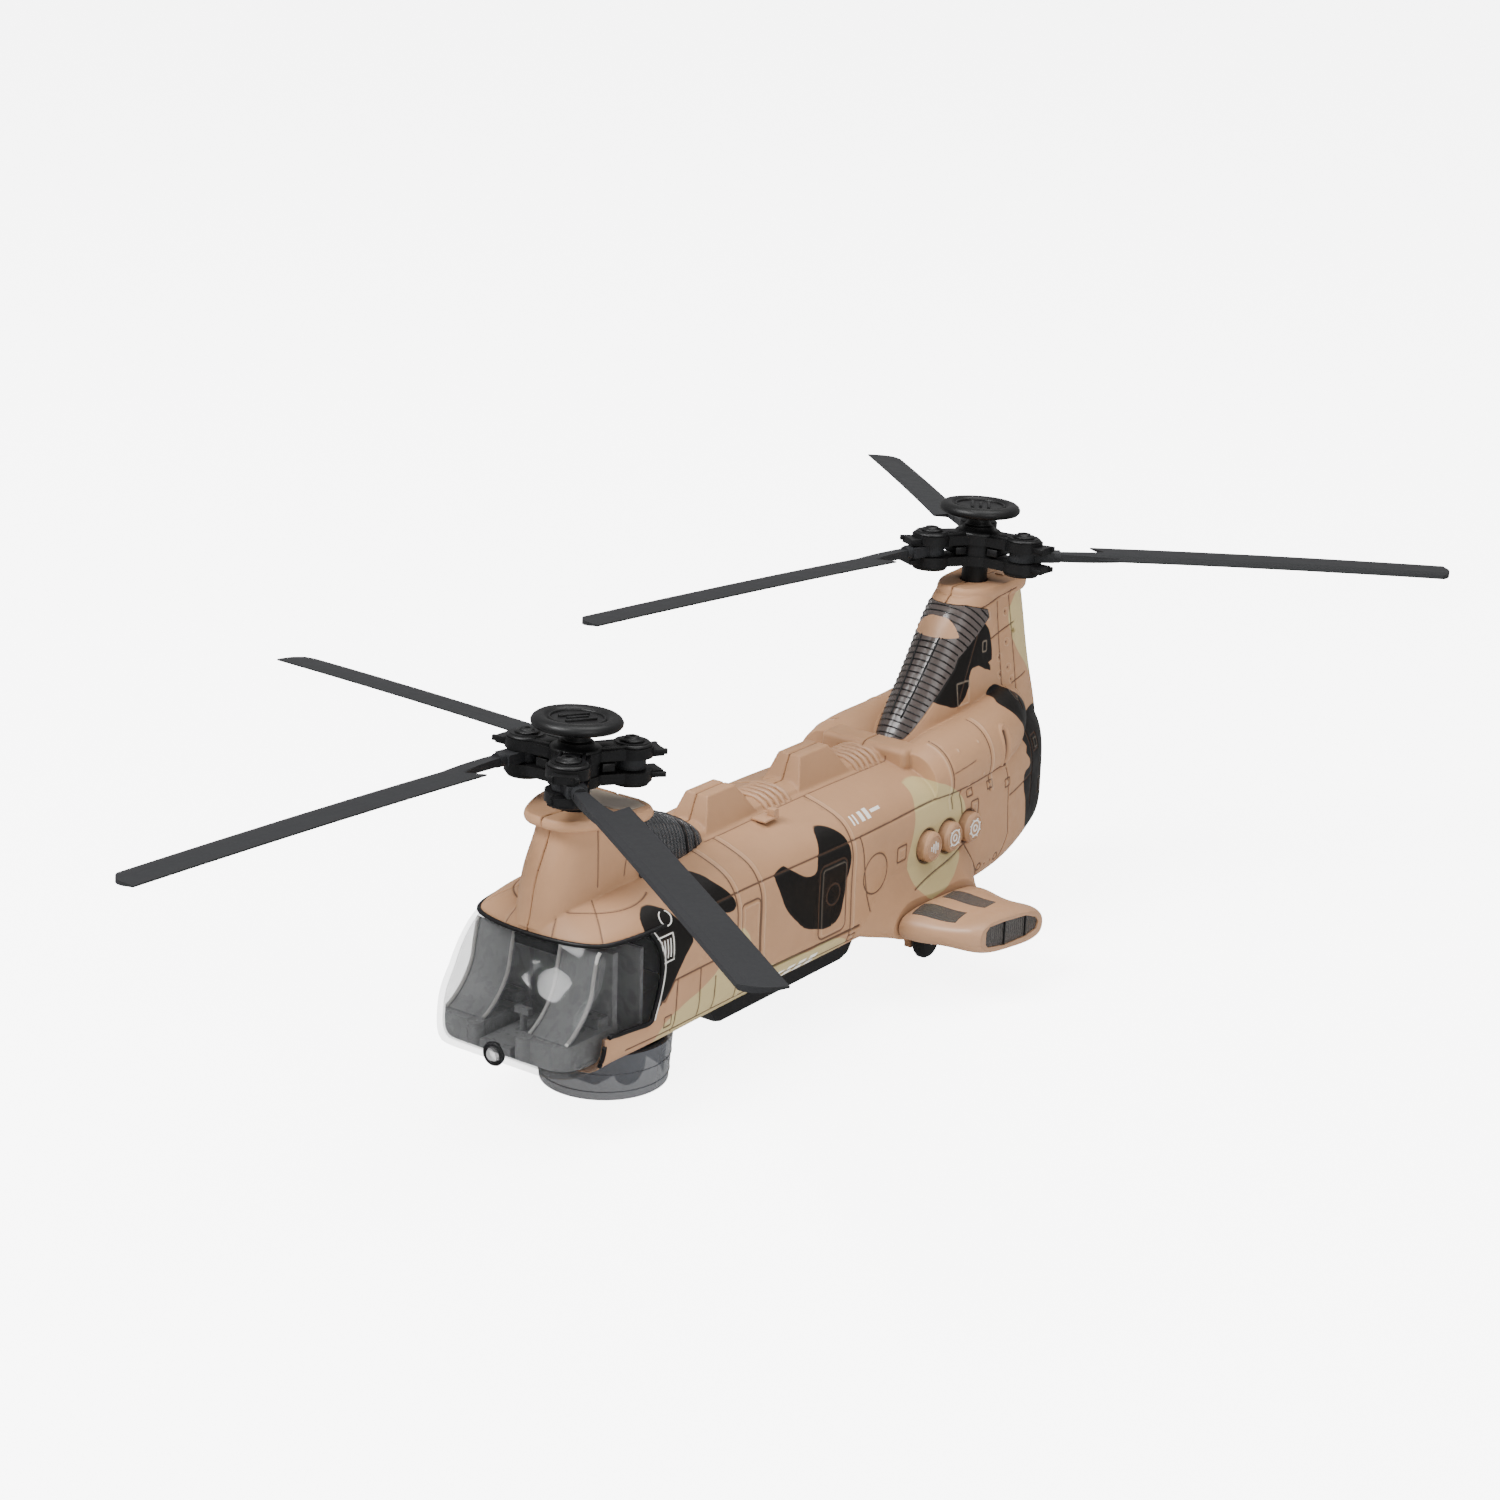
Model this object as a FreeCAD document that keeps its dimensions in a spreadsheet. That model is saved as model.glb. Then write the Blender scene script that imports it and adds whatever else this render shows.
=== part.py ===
"""Tandem-rotor toy helicopter: clam-shell fuselage, two three-blade folding rotors,
light-and-sound buttons and a swivelling drive turret under the nose.

Frame: nose towards -Y, port side towards +X, +Z up.  The origin is the centre of the
flat underside of the battery box, so the turret and the wheels reach below Z = 0.
"""
import FreeCAD
import Part
import Sketcher
import math
import os

Vector = FreeCAD.Vector
Rotation = FreeCAD.Rotation
Placement = FreeCAD.Placement

doc = FreeCAD.newDocument("toy_helicopter")

# ---------------------------------------------------------------- driving dimensions
SIZES = {
    # fuselage
    "wall": 2.0,
    "half_gap": 0.05,
    "body_half_width": 38.0,
    "belly_height": 7.0,
    "canopy_seam_height": 58.0,
    "canopy_wall": 1.6,
    "canopy_gap": 0.2,
    # rotors
    "front_axis": -100.0,
    "rotor_spacing": 281.3,
    "mast_head_height": 124.0,
    "rear_mast_rise": 28.2,
    "mast_tilt": 3.5,
    "hub_drop": 6.0,
    "front_phase": 62.3,
    "rear_phase": 122.0,
    "arm_reach": 23.4,
    "arm_overhang": 12.0,
    "blade_reach": 207.0,
    "blade_chord": 16.4,
    "blade_droop": 7.0,
    "blade_pitch": 6.0,
    "eye_radius": 6.0,
    "eye_thickness": 4.4,
    "fork_gap": 5.2,
    "plate_thickness": 4.2,
    "boss_radius": 8.6,
    "pivot_radius": 1.5,
    "knob_radius": 18.0,
    "knob_thickness": 4.8,
    "knob_rise": 17.8,
    "neck_radius": 5.0,
    "collar_radius": 6.9,
    "barrel_radius": 5.7,
    "shaft_radius": 2.0,
    "shaft_clearance": 0.05,
    # gear train
    "gear_module": 1.0,
    "pinion_teeth": 10.0,
    "wheel_teeth": 26.0,
    "gear_height": 58.5,
    "gear_face": 4.0,
    "motor_radius": 10.0,
    "motor_length": 25.0,
    # running gear
    "ground": -18.5,
    "turret_axis": -80.0,
    "ring_top_radius": 27.6,
    "ring_bottom_radius": 26.0,
    "ring_wall": 2.2,
    "ring_height": 19.6,
    "drive_wheel_radius": 8.5,
    "drive_track": 13.0,
    "rear_wheel_radius": 8.0,
    "rear_axle_place": 106.0,
    "rear_track": 31.0,
    "tyre_width": 6.0,
    "axle_radius": 1.5,
    # electrics
    "keel_half_width": 30.0,
    "keel_front": -50.0,
    "keel_back": 50.0,
    "cell_radius": 7.2,
    "cell_length": 50.0,
    "cell_pitch": 15.6,
    "button_radius": 6.7,
    "button_pitch": 16.0,
    "button_first": 92.5,
    "button_height": 39.0,
    "button_travel": 1.5,
}

sheet = doc.addObject("Spreadsheet::Sheet", "Sizes")
for row, (alias, number) in enumerate(SIZES.items(), start=1):
    sheet.set("A%d" % row, alias)
    sheet.set("B%d" % row, str(number))
    sheet.setAlias("B%d" % row, alias)
doc.recompute()

nodes = []


def size(alias):
    """The value of one cell of the sheet."""
    return float(getattr(sheet, alias))


def value(text):
    """The number that a formula over the sheet gives, worked out in a spare cell."""
    sheet.set("D1", "=" + text)
    sheet.recompute()
    return float(sheet.get("D1"))


def bind(item, **expressions):
    """Bind properties of a feature to expressions over the sheet."""
    for name, text in expressions.items():
        item.setExpression(name, linked(text))
    return item


def linked(text):
    """Prefix every alias in an expression with the sheet's name."""
    words = []
    for word in text.replace("(", "( ").replace(")", " )").split():
        words.append("Sizes." + word if word in SIZES else word)
    return " ".join(words)


def node(item, label):
    """Register a finished sub-part under its node name."""
    item.Label = label
    nodes.append(item)
    return item


def shape_node(label, shape):
    """A sub-part whose shape comes from sculpted surfaces."""
    feature = doc.addObject("Part::Feature", label)
    feature.Shape = shape
    feature.Placement = Placement()
    return node(feature, label)


def box(name, length, width, height, at):
    """A box bound to the sheet; at is its lowest corner."""
    item = doc.addObject("Part::Box", name)
    bind(item, Length=length, Width=width, Height=height)
    item.Placement = Placement(Vector(*at), Rotation())
    return item


def rod(name, radius, height, at, axis=(0, 0, 1)):
    """A cylinder bound to the sheet, standing on `at` along `axis`."""
    item = doc.addObject("Part::Cylinder", name)
    bind(item, Radius=radius, Height=height)
    item.Placement = Placement(Vector(*at), Rotation(Vector(0, 0, 1), Vector(*axis)))
    return item


def fuse(name, items):
    """A boolean union of several features."""
    item = doc.addObject("Part::MultiFuse", name)
    item.Shapes = items
    return item


def cut(name, base, tool):
    """A boolean difference of two features."""
    item = doc.addObject("Part::Cut", name)
    item.Base = base
    item.Tool = tool
    return item


def turned(label, profile, place=None):
    """A body of revolution; profile is a closed polygon of (radius, height) expressions."""
    body = doc.addObject("PartDesign::Body", label)
    sketch = body.newObject("Sketcher::SketchObject", label + "_profile")
    plane = [item for item in body.Origin.OriginFeatures if item.Role == "XZ_Plane"][0]
    sketch.AttachmentSupport = [(plane, "")]
    sketch.MapMode = "FlatFace"
    corners = [Vector(value(radius), value(height), 0) for radius, height in profile]
    count = len(corners)
    for index in range(count):
        sketch.addGeometry(Part.LineSegment(corners[index], corners[(index + 1) % count]))
    for index in range(count):
        after = (index + 1) % count
        sketch.addConstraint(Sketcher.Constraint("Coincident", index, 2, after, 1))
    for index, (radius, height) in enumerate(profile):
        pin(sketch, index, "DistanceX", -2, radius, corners[index].x)
        pin(sketch, index, "DistanceY", -1, height, corners[index].y)
    turn = body.newObject("PartDesign::Revolution", label + "_turn")
    turn.Profile = sketch
    turn.ReferenceAxis = (sketch, ["V_Axis"])
    turn.Angle = 360.0
    body.Placement = place or Placement()
    return body


def pin(sketch, index, kind, axis, text, number):
    """Fix one coordinate of a profile corner, bound to the sheet unless it is zero."""
    if abs(number) < 1e-9:
        sketch.addConstraint(Sketcher.Constraint("PointOnObject", index, 1, axis))
        return
    place = sketch.addConstraint(Sketcher.Constraint(kind, -1, 1, index, 1, number))
    sketch.setExpression("Constraints[%d]" % place, linked(text))


# ---------------------------------------------------------------- sculpted shells
def smooth_loop(points):
    """A closed smooth curve through the points, as a wire."""
    curve = Part.BSplineCurve()
    curve.interpolate(Points=points, PeriodicFlag=True)
    return Part.Wire([curve.toShape()])


def body_solid(inset):
    """The main fuselage, shrunk by inset; stations run nose to tail."""
    half_width = size("body_half_width")
    belly = size("belly_height")
    # place, width share, belly rise, shoulder height, roof height
    stations = [
        (-150.0, 0.52, 7.0, 19.0, 25.0), (-148.0, 0.70, 4.6, 21.0, 30.5),
        (-143.5, 0.85, 2.2, 26.0, 39.0), (-137.0, 0.935, 0.8, 33.0, 47.5),
        (-130.0, 0.97, 0.2, 41.0, 56.0), (-124.0, 0.98, 0.0, 47.5, 64.0),
        (-117.0, 0.98, 0.0, 52.0, 68.5), (-105.0, 0.995, 0.0, 55.0, 70.5),
        (-70.0, 1.0, 0.0, 56.0, 71.5), (0.0, 1.0, 0.0, 56.5, 72.0),
        (80.0, 1.0, 0.0, 56.5, 72.0), (140.0, 0.985, 0.2, 56.0, 72.0),
        (165.0, 0.92, 1.8, 55.0, 72.0), (185.0, 0.81, 4.6, 54.0, 72.0),
        (204.0, 0.67, 8.6, 53.0, 72.0), (216.0, 0.50, 14.5, 52.0, 70.5),
        (223.5, 0.33, 21.0, 50.0, 66.5), (226.5, 0.18, 28.0, 47.0, 60.0),
    ]
    wires = []
    for place, share, rise, shoulder, roof in stations:
        width = half_width * share - inset
        low = belly + rise + inset
        high = roof - inset
        side = shoulder - inset / 2
        flank = side - low
        crest = high - side
        nose_shift = inset * max(0.0, min(1.0, (-117.0 - place) / 20.0))
        tail_shift = inset * max(0.0, min(1.0, (place - 190.0) / 20.0))
        y = place + nose_shift - tail_shift
        outline = [
            (0.30, high - 0.06 * crest), (0.60, high - 0.26 * crest), (0.85, high - 0.58 * crest),
            (0.975, side - 0.02 * flank), (1.0, side - 0.30 * flank), (1.0, low + 0.34 * flank),
            (0.955, low + 0.12 * flank), (0.83, low + 0.022 * flank), (0.55, low),
        ]
        port = [Vector(share_x * width, y, z) for share_x, z in outline]
        starboard = [Vector(-point.x, y, point.z) for point in reversed(port)]
        wires.append(smooth_loop([Vector(0, y, high)] + port + [Vector(0, y, low)] + starboard))
    return Part.makeLoft(wires, True, False)


def column_solid(levels, inset):
    """A pylon, lofted through level outlines given bottom to top.

    Each level is height, front, back, half width at the front third, half width behind it.
    """
    wires = []
    for height, front, back, slim, broad in levels:
        first = front + inset
        last = back - inset
        run = last - first
        outline = [
            (0.66 * (slim - inset), first + 0.06 * run), (slim - inset, first + 0.24 * run),
            (broad - inset, first + 0.60 * run), (0.93 * (broad - inset), last - 0.10 * run),
            (0.62 * (broad - inset), last - 0.01 * run),
        ]
        port = [Vector(x, y, height) for x, y in outline]
        starboard = [Vector(-point.x, point.y, height) for point in reversed(port)]
        loop = [Vector(0, first, height)] + port + [Vector(0, last, height)] + starboard
        wires.append(smooth_loop(loop))
    return Part.makeLoft(wires, True, False)


FRONT_COLUMN = [(60.0, -128.5, -66.0, 14.6, 15.0), (68.0, -126.0, -68.0, 14.4, 14.8),
                (84.0, -120.8, -74.0, 13.6, 15.6), (94.0, -115.8, -75.0, 13.0, 17.4),
                (97.6, -115.0, -75.0, 13.0, 18.6)]
FRONT_FLANGE = [(96.6, -119.0, -73.5, 15.2, 21.0), (98.6, -120.4, -72.5, 16.4, 22.4),
                (101.2, -119.6, -73.5, 15.8, 21.6)]
REAR_COLUMN = [(60.0, 112.0, 222.0, 19.0, 17.0), (76.0, 117.0, 218.0, 15.6, 16.4),
               (100.0, 136.5, 211.0, 14.2, 15.0), (118.0, 150.0, 207.0, 13.6, 13.8),
               (128.0, 160.0, 204.0, 12.6, 13.2)]
REAR_CAP = [(125.6, 163.0, 205.5, 12.0, 14.0), (128.0, 161.5, 206.5, 13.2, 15.0),
            (131.7, 162.5, 205.5, 12.6, 14.4)]


def ellipse_wire(x, y, z, wide, tall):
    """An upright ellipse in the plane at Y = y; tall is the larger half axis."""
    centre = Vector(x, y, z)
    top = Vector(x, y, z + tall)
    side = Vector(x + wide, y, z)
    return Part.Wire([Part.Ellipse(top, side, centre).toShape()])


def nacelle_solid(inset):
    """The engine fairing at the shoulder beside the rear pylon."""
    # place, centre x, centre z, half width, half height
    rings = [(101.0, 23.0, 61.0, 13.6, 14.0), (108.0, 22.6, 61.5, 15.2, 15.8),
             (140.0, 21.6, 63.0, 15.8, 16.8), (168.0, 18.4, 66.0, 15.2, 17.4),
             (184.0, 15.4, 68.0, 13.2, 16.6), (192.0, 13.4, 68.5, 10.6, 13.8)]
    wires = []
    for place, x, z, wide, tall in rings:
        y = place + inset if place < 120.0 else place - inset
        wires.append(ellipse_wire(x, y, z, wide - inset, tall - inset))
    return Part.makeLoft(wires, True, False)


def prism(outline, start, end):
    """Extrude a side-view outline of (y, z) points from X = start to X = end."""
    corners = [Vector(start, y, z) for y, z in outline]
    face = Part.Face(Part.makePolygon(corners + corners[:1]))
    return face.extrude(Vector(end - start, 0, 0))


def frustum(low, high):
    """A straight loft between two rectangles of (half width, front, back, height)."""
    wires = []
    for half, front, back, height in (low, high):
        corners = [Vector(-half, front, height), Vector(half, front, height),
                   Vector(half, back, height), Vector(-half, back, height)]
        wires.append(Part.makePolygon(corners + corners[:1]))
    return Part.makeLoft(wires, True, True)


def spine_solid():
    """The raised spine with its two humps and the scoop lip ahead of the rear pylon."""
    crown = [Vector(x, -40.0, z) for x, z in [(-11.4, 60.0), (-11.4, 69.6), (-8.6, 73.4), (-4.2, 75.2),
                                              (4.2, 75.2), (8.6, 73.4), (11.4, 69.6), (11.4, 60.0)]]
    strip = Part.Face(Part.makePolygon(crown + crown[:1])).extrude(Vector(0, 148.0, 0))
    low_front = (9.8, -28.5, 6.5, 72.0)
    low_back = (9.8, 35.5, 73.0, 72.0)
    lip = Part.makeBox(44.0, 12.0, 9.5, Vector(-22.0, 96.0, 67.5))
    rims = [item for item in lip.Edges
            if item.BoundBox.XMin > 21.0 or item.BoundBox.XMax < -21.0 or item.BoundBox.YMax < 96.5]
    lip = lip.makeFillet(2.6, rims)
    return strip.fuse([frustum(low_front, (5.6, -22.5, -4.0, 85.4)),
                       frustum(low_back, (5.6, 41.5, 62.0, 85.4)), lip])


def sponson_solid(inset):
    """The stub wing, as a loft of rounded sections from the root joint to the tip."""
    # x, front, back, low, high, drop of the rear edge below the middle
    stations = [(46.0, 61.0, 123.0, 4.0, 18.0, 1.6), (60.0, 62.6, 122.2, 3.0, 18.1, 2.5),
                (72.0, 65.2, 121.9, 2.3, 18.5, 3.1), (78.0, 67.0, 121.4, 2.1, 18.7, 3.4),
                (81.5, 69.2, 119.2, 3.3, 17.6, 3.4)]
    wires = []
    for x, front, back, low, high, drop in stations:
        middle_y = (front + back) / 2
        middle_z = (low + high) / 2
        reach = (back - front) / 2 - inset
        rise = (high - low) / 2 - inset
        spread = x - inset if x > 80.0 else x
        points = []
        for step in range(16):
            angle = 2 * math.pi * step / 16
            across = math.copysign(abs(math.cos(angle)) ** 0.62, math.cos(angle))
            upward = math.copysign(abs(math.sin(angle)) ** 0.75, math.sin(angle))
            height = middle_z + rise * upward - drop * across
            points.append(Vector(spread, middle_y + reach * across, height))
        wires.append(smooth_loop(points))
    return Part.makeLoft(wires, True, False)


def sponson_fairing():
    """The swelling of the fuselage flank that carries the stub wing."""
    # x, front, back, low, high, drop of the rear edge below the middle
    stations = [(26.0, 36.0, 138.0, 8.0, 44.0, 0.0), (36.0, 42.0, 133.0, 7.2, 36.0, 0.4),
                (41.0, 54.0, 127.5, 4.8, 25.5, 1.2), (44.6, 59.2, 124.8, 3.6, 19.8, 1.6)]
    wires = []
    for x, front, back, low, high, drop in stations:
        corner = (high - low) * 0.45
        middle = (front + back) / 2
        outline = [(front, low + corner), (front + corner, high - 1.0), (middle, high),
                   (back - corner, high - 1.0), (back, low + corner), (back - corner, low + 0.5),
                   (middle, low), (front + corner, low + 0.5)]
        tilt = 2 * drop / (back - front)
        wires.append(smooth_loop([Vector(x, y, z - tilt * (y - middle)) for y, z in outline]))
    return Part.makeLoft(wires, True, False)


def canopy_zone(grow):
    """The side-view region of the nose that the clear canopy takes."""
    seam = size("canopy_seam_height") + grow
    rear = -96.5 + grow
    sill = 21.0 - grow
    corner = Part.Arc(Vector(-60.0, rear - 1.5, seam), Vector(-60.0, rear + 4.0, 41.0),
                      Vector(-60.0, rear - 3.0, sill)).toShape()
    edges = [
        Part.makeLine(Vector(-60.0, -170.0, seam), Vector(-60.0, rear - 1.5, seam)), corner,
        Part.makeLine(Vector(-60.0, rear - 3.0, sill), Vector(-60.0, -126.0 + grow, sill + 2.0)),
        Part.makeLine(Vector(-60.0, -126.0 + grow, sill + 2.0), Vector(-60.0, -128.5 + grow, 0.0)),
        Part.makeLine(Vector(-60.0, -128.5 + grow, 0.0), Vector(-60.0, -170.0, 0.0)),
        Part.makeLine(Vector(-60.0, -170.0, 0.0), Vector(-60.0, -170.0, seam)),
    ]
    return Part.Face(Part.Wire(edges)).extrude(Vector(120.0, 0, 0))


def tail_window_zone(grow):
    """The side-view region of the rear pylon that the smoked window takes."""
    outline = [(105.0, 71.0 - grow), (118.0 + grow, 73.5 - grow), (147.0 + grow, 99.5 - grow),
               (150.0 + grow, 104.0), (172.0 + grow, 118.5), (171.0 + grow, 122.0 + grow),
               (160.0, 125.2 + grow), (105.0, 125.2 + grow)]
    return prism(outline, -30.0, 30.0)


def both(half):
    """A half solid together with its mirror image."""
    return half.fuse(half.mirror(Vector(0, 0, 0), Vector(1, 0, 0)))


def mirrored(shape):
    """The starboard twin of a port-side shape."""
    return shape.mirror(Vector(0, 0, 0), Vector(1, 0, 0))


wall = size("wall")
gap = size("half_gap")
canopy_wall = size("canopy_wall")
front_axis = size("front_axis")
rear_axis = front_axis + size("rotor_spacing")
mast_head = size("mast_head_height")
mast_turn = Rotation(Vector(1, 0, 0), -size("mast_tilt"))
front_mast = Placement(Vector(0, front_axis, mast_head), mast_turn)
rear_mast = Placement(Vector(0, rear_axis, mast_head + size("rear_mast_rise")), mast_turn)

half_space = Part.makeBox(80.0, 500.0, 300.0, Vector(gap, -250.0, -50.0))
skin = body_solid(0.0)
rear_column = column_solid(REAR_COLUMN, 0.0)
port_lumps = [nacelle_solid(0.0), sponson_fairing()]
flange_top = 101.2
cap_top = 131.7
flange = column_solid(FRONT_FLANGE, 0.0)
flange.rotate(Vector(0, front_axis, flange_top), Vector(1, 0, 0), -size("mast_tilt"))
outer_half = skin.fuse([column_solid(FRONT_COLUMN, 0.0), flange,
                        rear_column, column_solid(REAR_CAP, 0.0), spine_solid()] + port_lumps)
outer_half = outer_half.common(half_space)
hollow = body_solid(wall).fuse([column_solid(FRONT_COLUMN[:-1], wall),
                                column_solid(REAR_COLUMN[:-1], wall), nacelle_solid(wall)])
shell_half = outer_half.cut(hollow).common(half_space)

# screw towers join the two halves: (place, height) seen from the side
TOWERS = [(-62.0, 58.0), (22.0, 58.0), (75.0, 58.0), (136.0, 24.0), (192.0, 108.0)]
tower_room = skin.fuse([rear_column]).common(half_space)
towers = [Part.makeCylinder(4.4, 60.0, Vector(gap, y, z), Vector(1, 0, 0)) for y, z in TOWERS]
towers = [tower.common(tower_room) for tower in towers]
shell_half = shell_half.fuse(towers)

# lugs under the belly carry the rear axle
axle_z = size("ground") + size("rear_wheel_radius")
axle_y = size("rear_axle_place")
lug = prism([(axle_y - 9.0, 8.4), (axle_y - 4.0, axle_z - 4.0), (axle_y + 4.0, axle_z - 4.0),
             (axle_y + 9.0, 8.4)], 22.5, 26.0)
bore = Part.makeCylinder(size("axle_radius") + 0.1, 120.0, Vector(-60, axle_y, axle_z), Vector(1, 0, 0))
shell_half = shell_half.fuse([lug]).cut(bore)

# openings shared by both halves
def mast_hole(radius, low, high, mast):
    """A cylinder along a mast axis between two heights measured from the mast head."""
    hole = Part.makeCylinder(radius, high - low, Vector(0, 0, low))
    hole.Placement = mast
    return hole


barrel_bore = size("barrel_radius") + 0.4
bush_radius = size("shaft_radius") + 2.0
front_foot = flange_top - mast_head
rear_foot = cap_top - mast_head - size("rear_mast_rise")
openings = [
    Part.makeBox(56.0, 66.0, 16.0, Vector(-28.0, -36.0, 2.0)),
    Part.makeCylinder(5.3, 12.0, Vector(0, size("turret_axis"), 1.0)),
    mast_hole(barrel_bore, front_foot - 3.5, front_foot + 6.0, front_mast),
    mast_hole(barrel_bore, rear_foot - 3.5, rear_foot + 6.0, rear_mast),
    mast_hole(bush_radius, front_foot - 12.0, front_foot, front_mast),
    mast_hole(bush_radius, rear_foot - 22.0, rear_foot, rear_mast),
    Part.makeCylinder(3.2, 12.0, Vector(0, -152.0, 14.0), Vector(0, 1, 0)),
]
for turn in range(6):
    angle = turn * math.pi / 3
    place = Vector(7 * math.cos(angle), 76 + 7 * math.sin(angle), 4.0)
    openings.append(Part.makeCylinder(1.5, 6.0, place))
shell_half = shell_half.cut(openings)

# the hatch recess on top of the front pylon
hatch_outline = [(front_axis + 9.0, 12.0), (-87.0, 17.4), (-78.5, 17.4), (-76.0, 12.0)]
corners = [Vector(x, y, flange_top - 1.2) for y, x in hatch_outline]
corners += [Vector(-point.x, point.y, point.z) for point in reversed(corners)]
hatch_recess = Part.Face(Part.makePolygon(corners + corners[:1])).extrude(Vector(0, 0, 5.0))
hatch_recess.rotate(Vector(0, front_axis, flange_top), Vector(1, 0, 0), -size("mast_tilt"))

zone_gap = size("canopy_gap")
window_room = column_solid(REAR_COLUMN, -zone_gap).common(tail_window_zone(zone_gap))
shell_half = shell_half.cut([canopy_zone(zone_gap), window_room, hatch_recess])

tab_places = (74.0, 106.0)
tab_slots = [Part.makeBox(8.0, 8.4, 6.4, Vector(40.0, y - 0.2, 7.8)) for y in tab_places]
shell_half = shell_half.cut(tab_slots)

screw_hole = [Part.makeCylinder(1.15, 24.0, Vector(-1.0, y, z), Vector(1, 0, 0)) for y, z in TOWERS]
button_radius = size("button_radius")
button_z = size("button_height")
button_places = [size("button_first") + index * size("button_pitch") for index in range(3)]
button_holes = [Part.makeCylinder(button_radius + 0.3, 20.0, Vector(30.0, y, button_z), Vector(1, 0, 0))
                for y in button_places]
wide_hole = [Part.makeCylinder(1.55, 64.0, Vector(-62.0, y, z), Vector(1, 0, 0)) for y, z in TOWERS]
head_hole = [Part.makeCylinder(2.9, 70.0, Vector(-78.0, y, z), Vector(1, 0, 0)) for y, z in TOWERS]


def main_solid(shape):
    """The largest solid of a shape, without boolean crumbs."""
    return max(shape.Solids, key=lambda item: item.Volume)


shell_port = main_solid(shell_half.cut(screw_hole + button_holes))
shell_starboard = main_solid(mirrored(shell_half).cut(wide_hole + head_hole))
shape_node("fuselage_shell_port", shell_port)
shape_node("fuselage_shell_starboard", shell_starboard)

# clear nose canopy, smoked windows and the painted trim on them
canopy = skin.cut(body_solid(canopy_wall)).common(canopy_zone(0.0))
canopy = canopy.cut(Part.makeCylinder(3.2, 12.0, Vector(0, -152.0, 14.0), Vector(0, 1, 0)))
shape_node("canopy_windshield", main_solid(canopy))

window_skin = rear_column.cut(column_solid(REAR_COLUMN, canopy_wall)).common(tail_window_zone(0.0))
panel_band = Part.makeBox(60.0, 60.0, 8.0, Vector(-30.0, 100.0, 112.6))
panel_zone = prism([(100.0, 60.0), (152.5, 60.0), (152.5, 130.0), (100.0, 130.0)], -11.0, 11.0)
panel_band = panel_band.common(panel_zone)
shape_node("tail_window", main_solid(window_skin.cut(panel_band)))
shape_node("tail_window_panel", main_solid(window_skin.common(panel_band)))

FAIRING = [(-79.0, 16.6, 94.5), (-66.0, 16.0, 91.5), (-52.0, 14.6, 86.0), (-38.0, 12.6, 79.0),
           (-33.5, 11.8, 76.5)]


def arch_solid(inset):
    """The ribbed fairing window between the front pylon and the spine."""
    wires = []
    for place, wide, top in FAIRING:
        wide = wide - inset
        top = top - inset
        base = 62.0
        tall = top - base
        port = [Vector(wide * x, place, base + tall * z) for x, z in
                [(0.55, 0.97), (0.86, 0.84), (0.99, 0.60), (1.0, 0.25)]]
        starboard = [Vector(-point.x, place, point.z) for point in reversed(port)]
        feet = [Vector(0.5 * wide, place, base), Vector(-0.5 * wide, place, base)]
        wires.append(smooth_loop([Vector(0, place, top)] + port + feet + starboard))
    return Part.makeLoft(wires, True, False)


front_window = arch_solid(0.0).cut(arch_solid(canopy_wall))
front_window = front_window.cut(both(outer_half))
shape_node("front_pylon_window", main_solid(front_window))
shape_node("front_pylon_hatch", main_solid(hatch_recess.common(flange)))

# stub wings: hollow shells closed at the root, with lens pockets
strip_places = [(57.6, 74.0, 17.6), (57.4, 97.4, 16.6)]
strip_sweep = 9.0


def strip_box(place, grow):
    """The room of one smoked strip on top of the wing, swept back a little."""
    x, y, z = place
    corner = Vector(x - 10.0 - grow, y - 6.2 - grow, z - grow)
    slab = Part.makeBox(20.0 + 2 * grow, 12.4 + 2 * grow, 8.0, corner)
    return slab.rotated(Vector(x, y, z), Vector(0, 0, 1), strip_sweep)


end_lens_zone = prism([(73.4, 11.0), (75.2, 8.8), (88.7, 5.9), (106.0, 4.7), (114.4, 5.6), (115.8, 8.4),
                       (113.8, 11.0), (105.2, 14.4), (87.6, 17.0), (76.2, 17.9), (73.6, 16.2)], 79.0, 95.0)
wing = sponson_solid(0.0)
pockets = [strip_box(place, 0.15) for place in strip_places]
wing_shell = wing.cut(sponson_solid(wall)).cut(pockets + [end_lens_zone])
root_plate = sponson_solid(0.4).common(Part.makeBox(2.0, 90.0, 40.0, Vector(46.0, 50.0, -5.0)))
tabs = [Part.makeBox(6.0, 8.0, 6.0, Vector(41.0, y, 8.0)) for y in tab_places]
lens_face = Part.makeBox(1.8, 90.0, 40.0, Vector(79.0, 50.0, 0.0))
lenses = wing.cut(sponson_solid(wall)).common(end_lens_zone).common(lens_face)
strips = wing.common(Part.makeCompound([strip_box(place, 0.0) for place in strip_places]))
wing_port = main_solid(wing_shell.fuse([root_plate] + tabs).cut(pockets))
shape_node("sponson_port", wing_port)
shape_node("sponson_starboard", mirrored(wing_port))
lens_set = Part.makeCompound(lenses.Solids + strips.Solids)
shape_node("sponson_lenses_port", lens_set)
shape_node("sponson_lenses_starboard", mirrored(lens_set))


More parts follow.
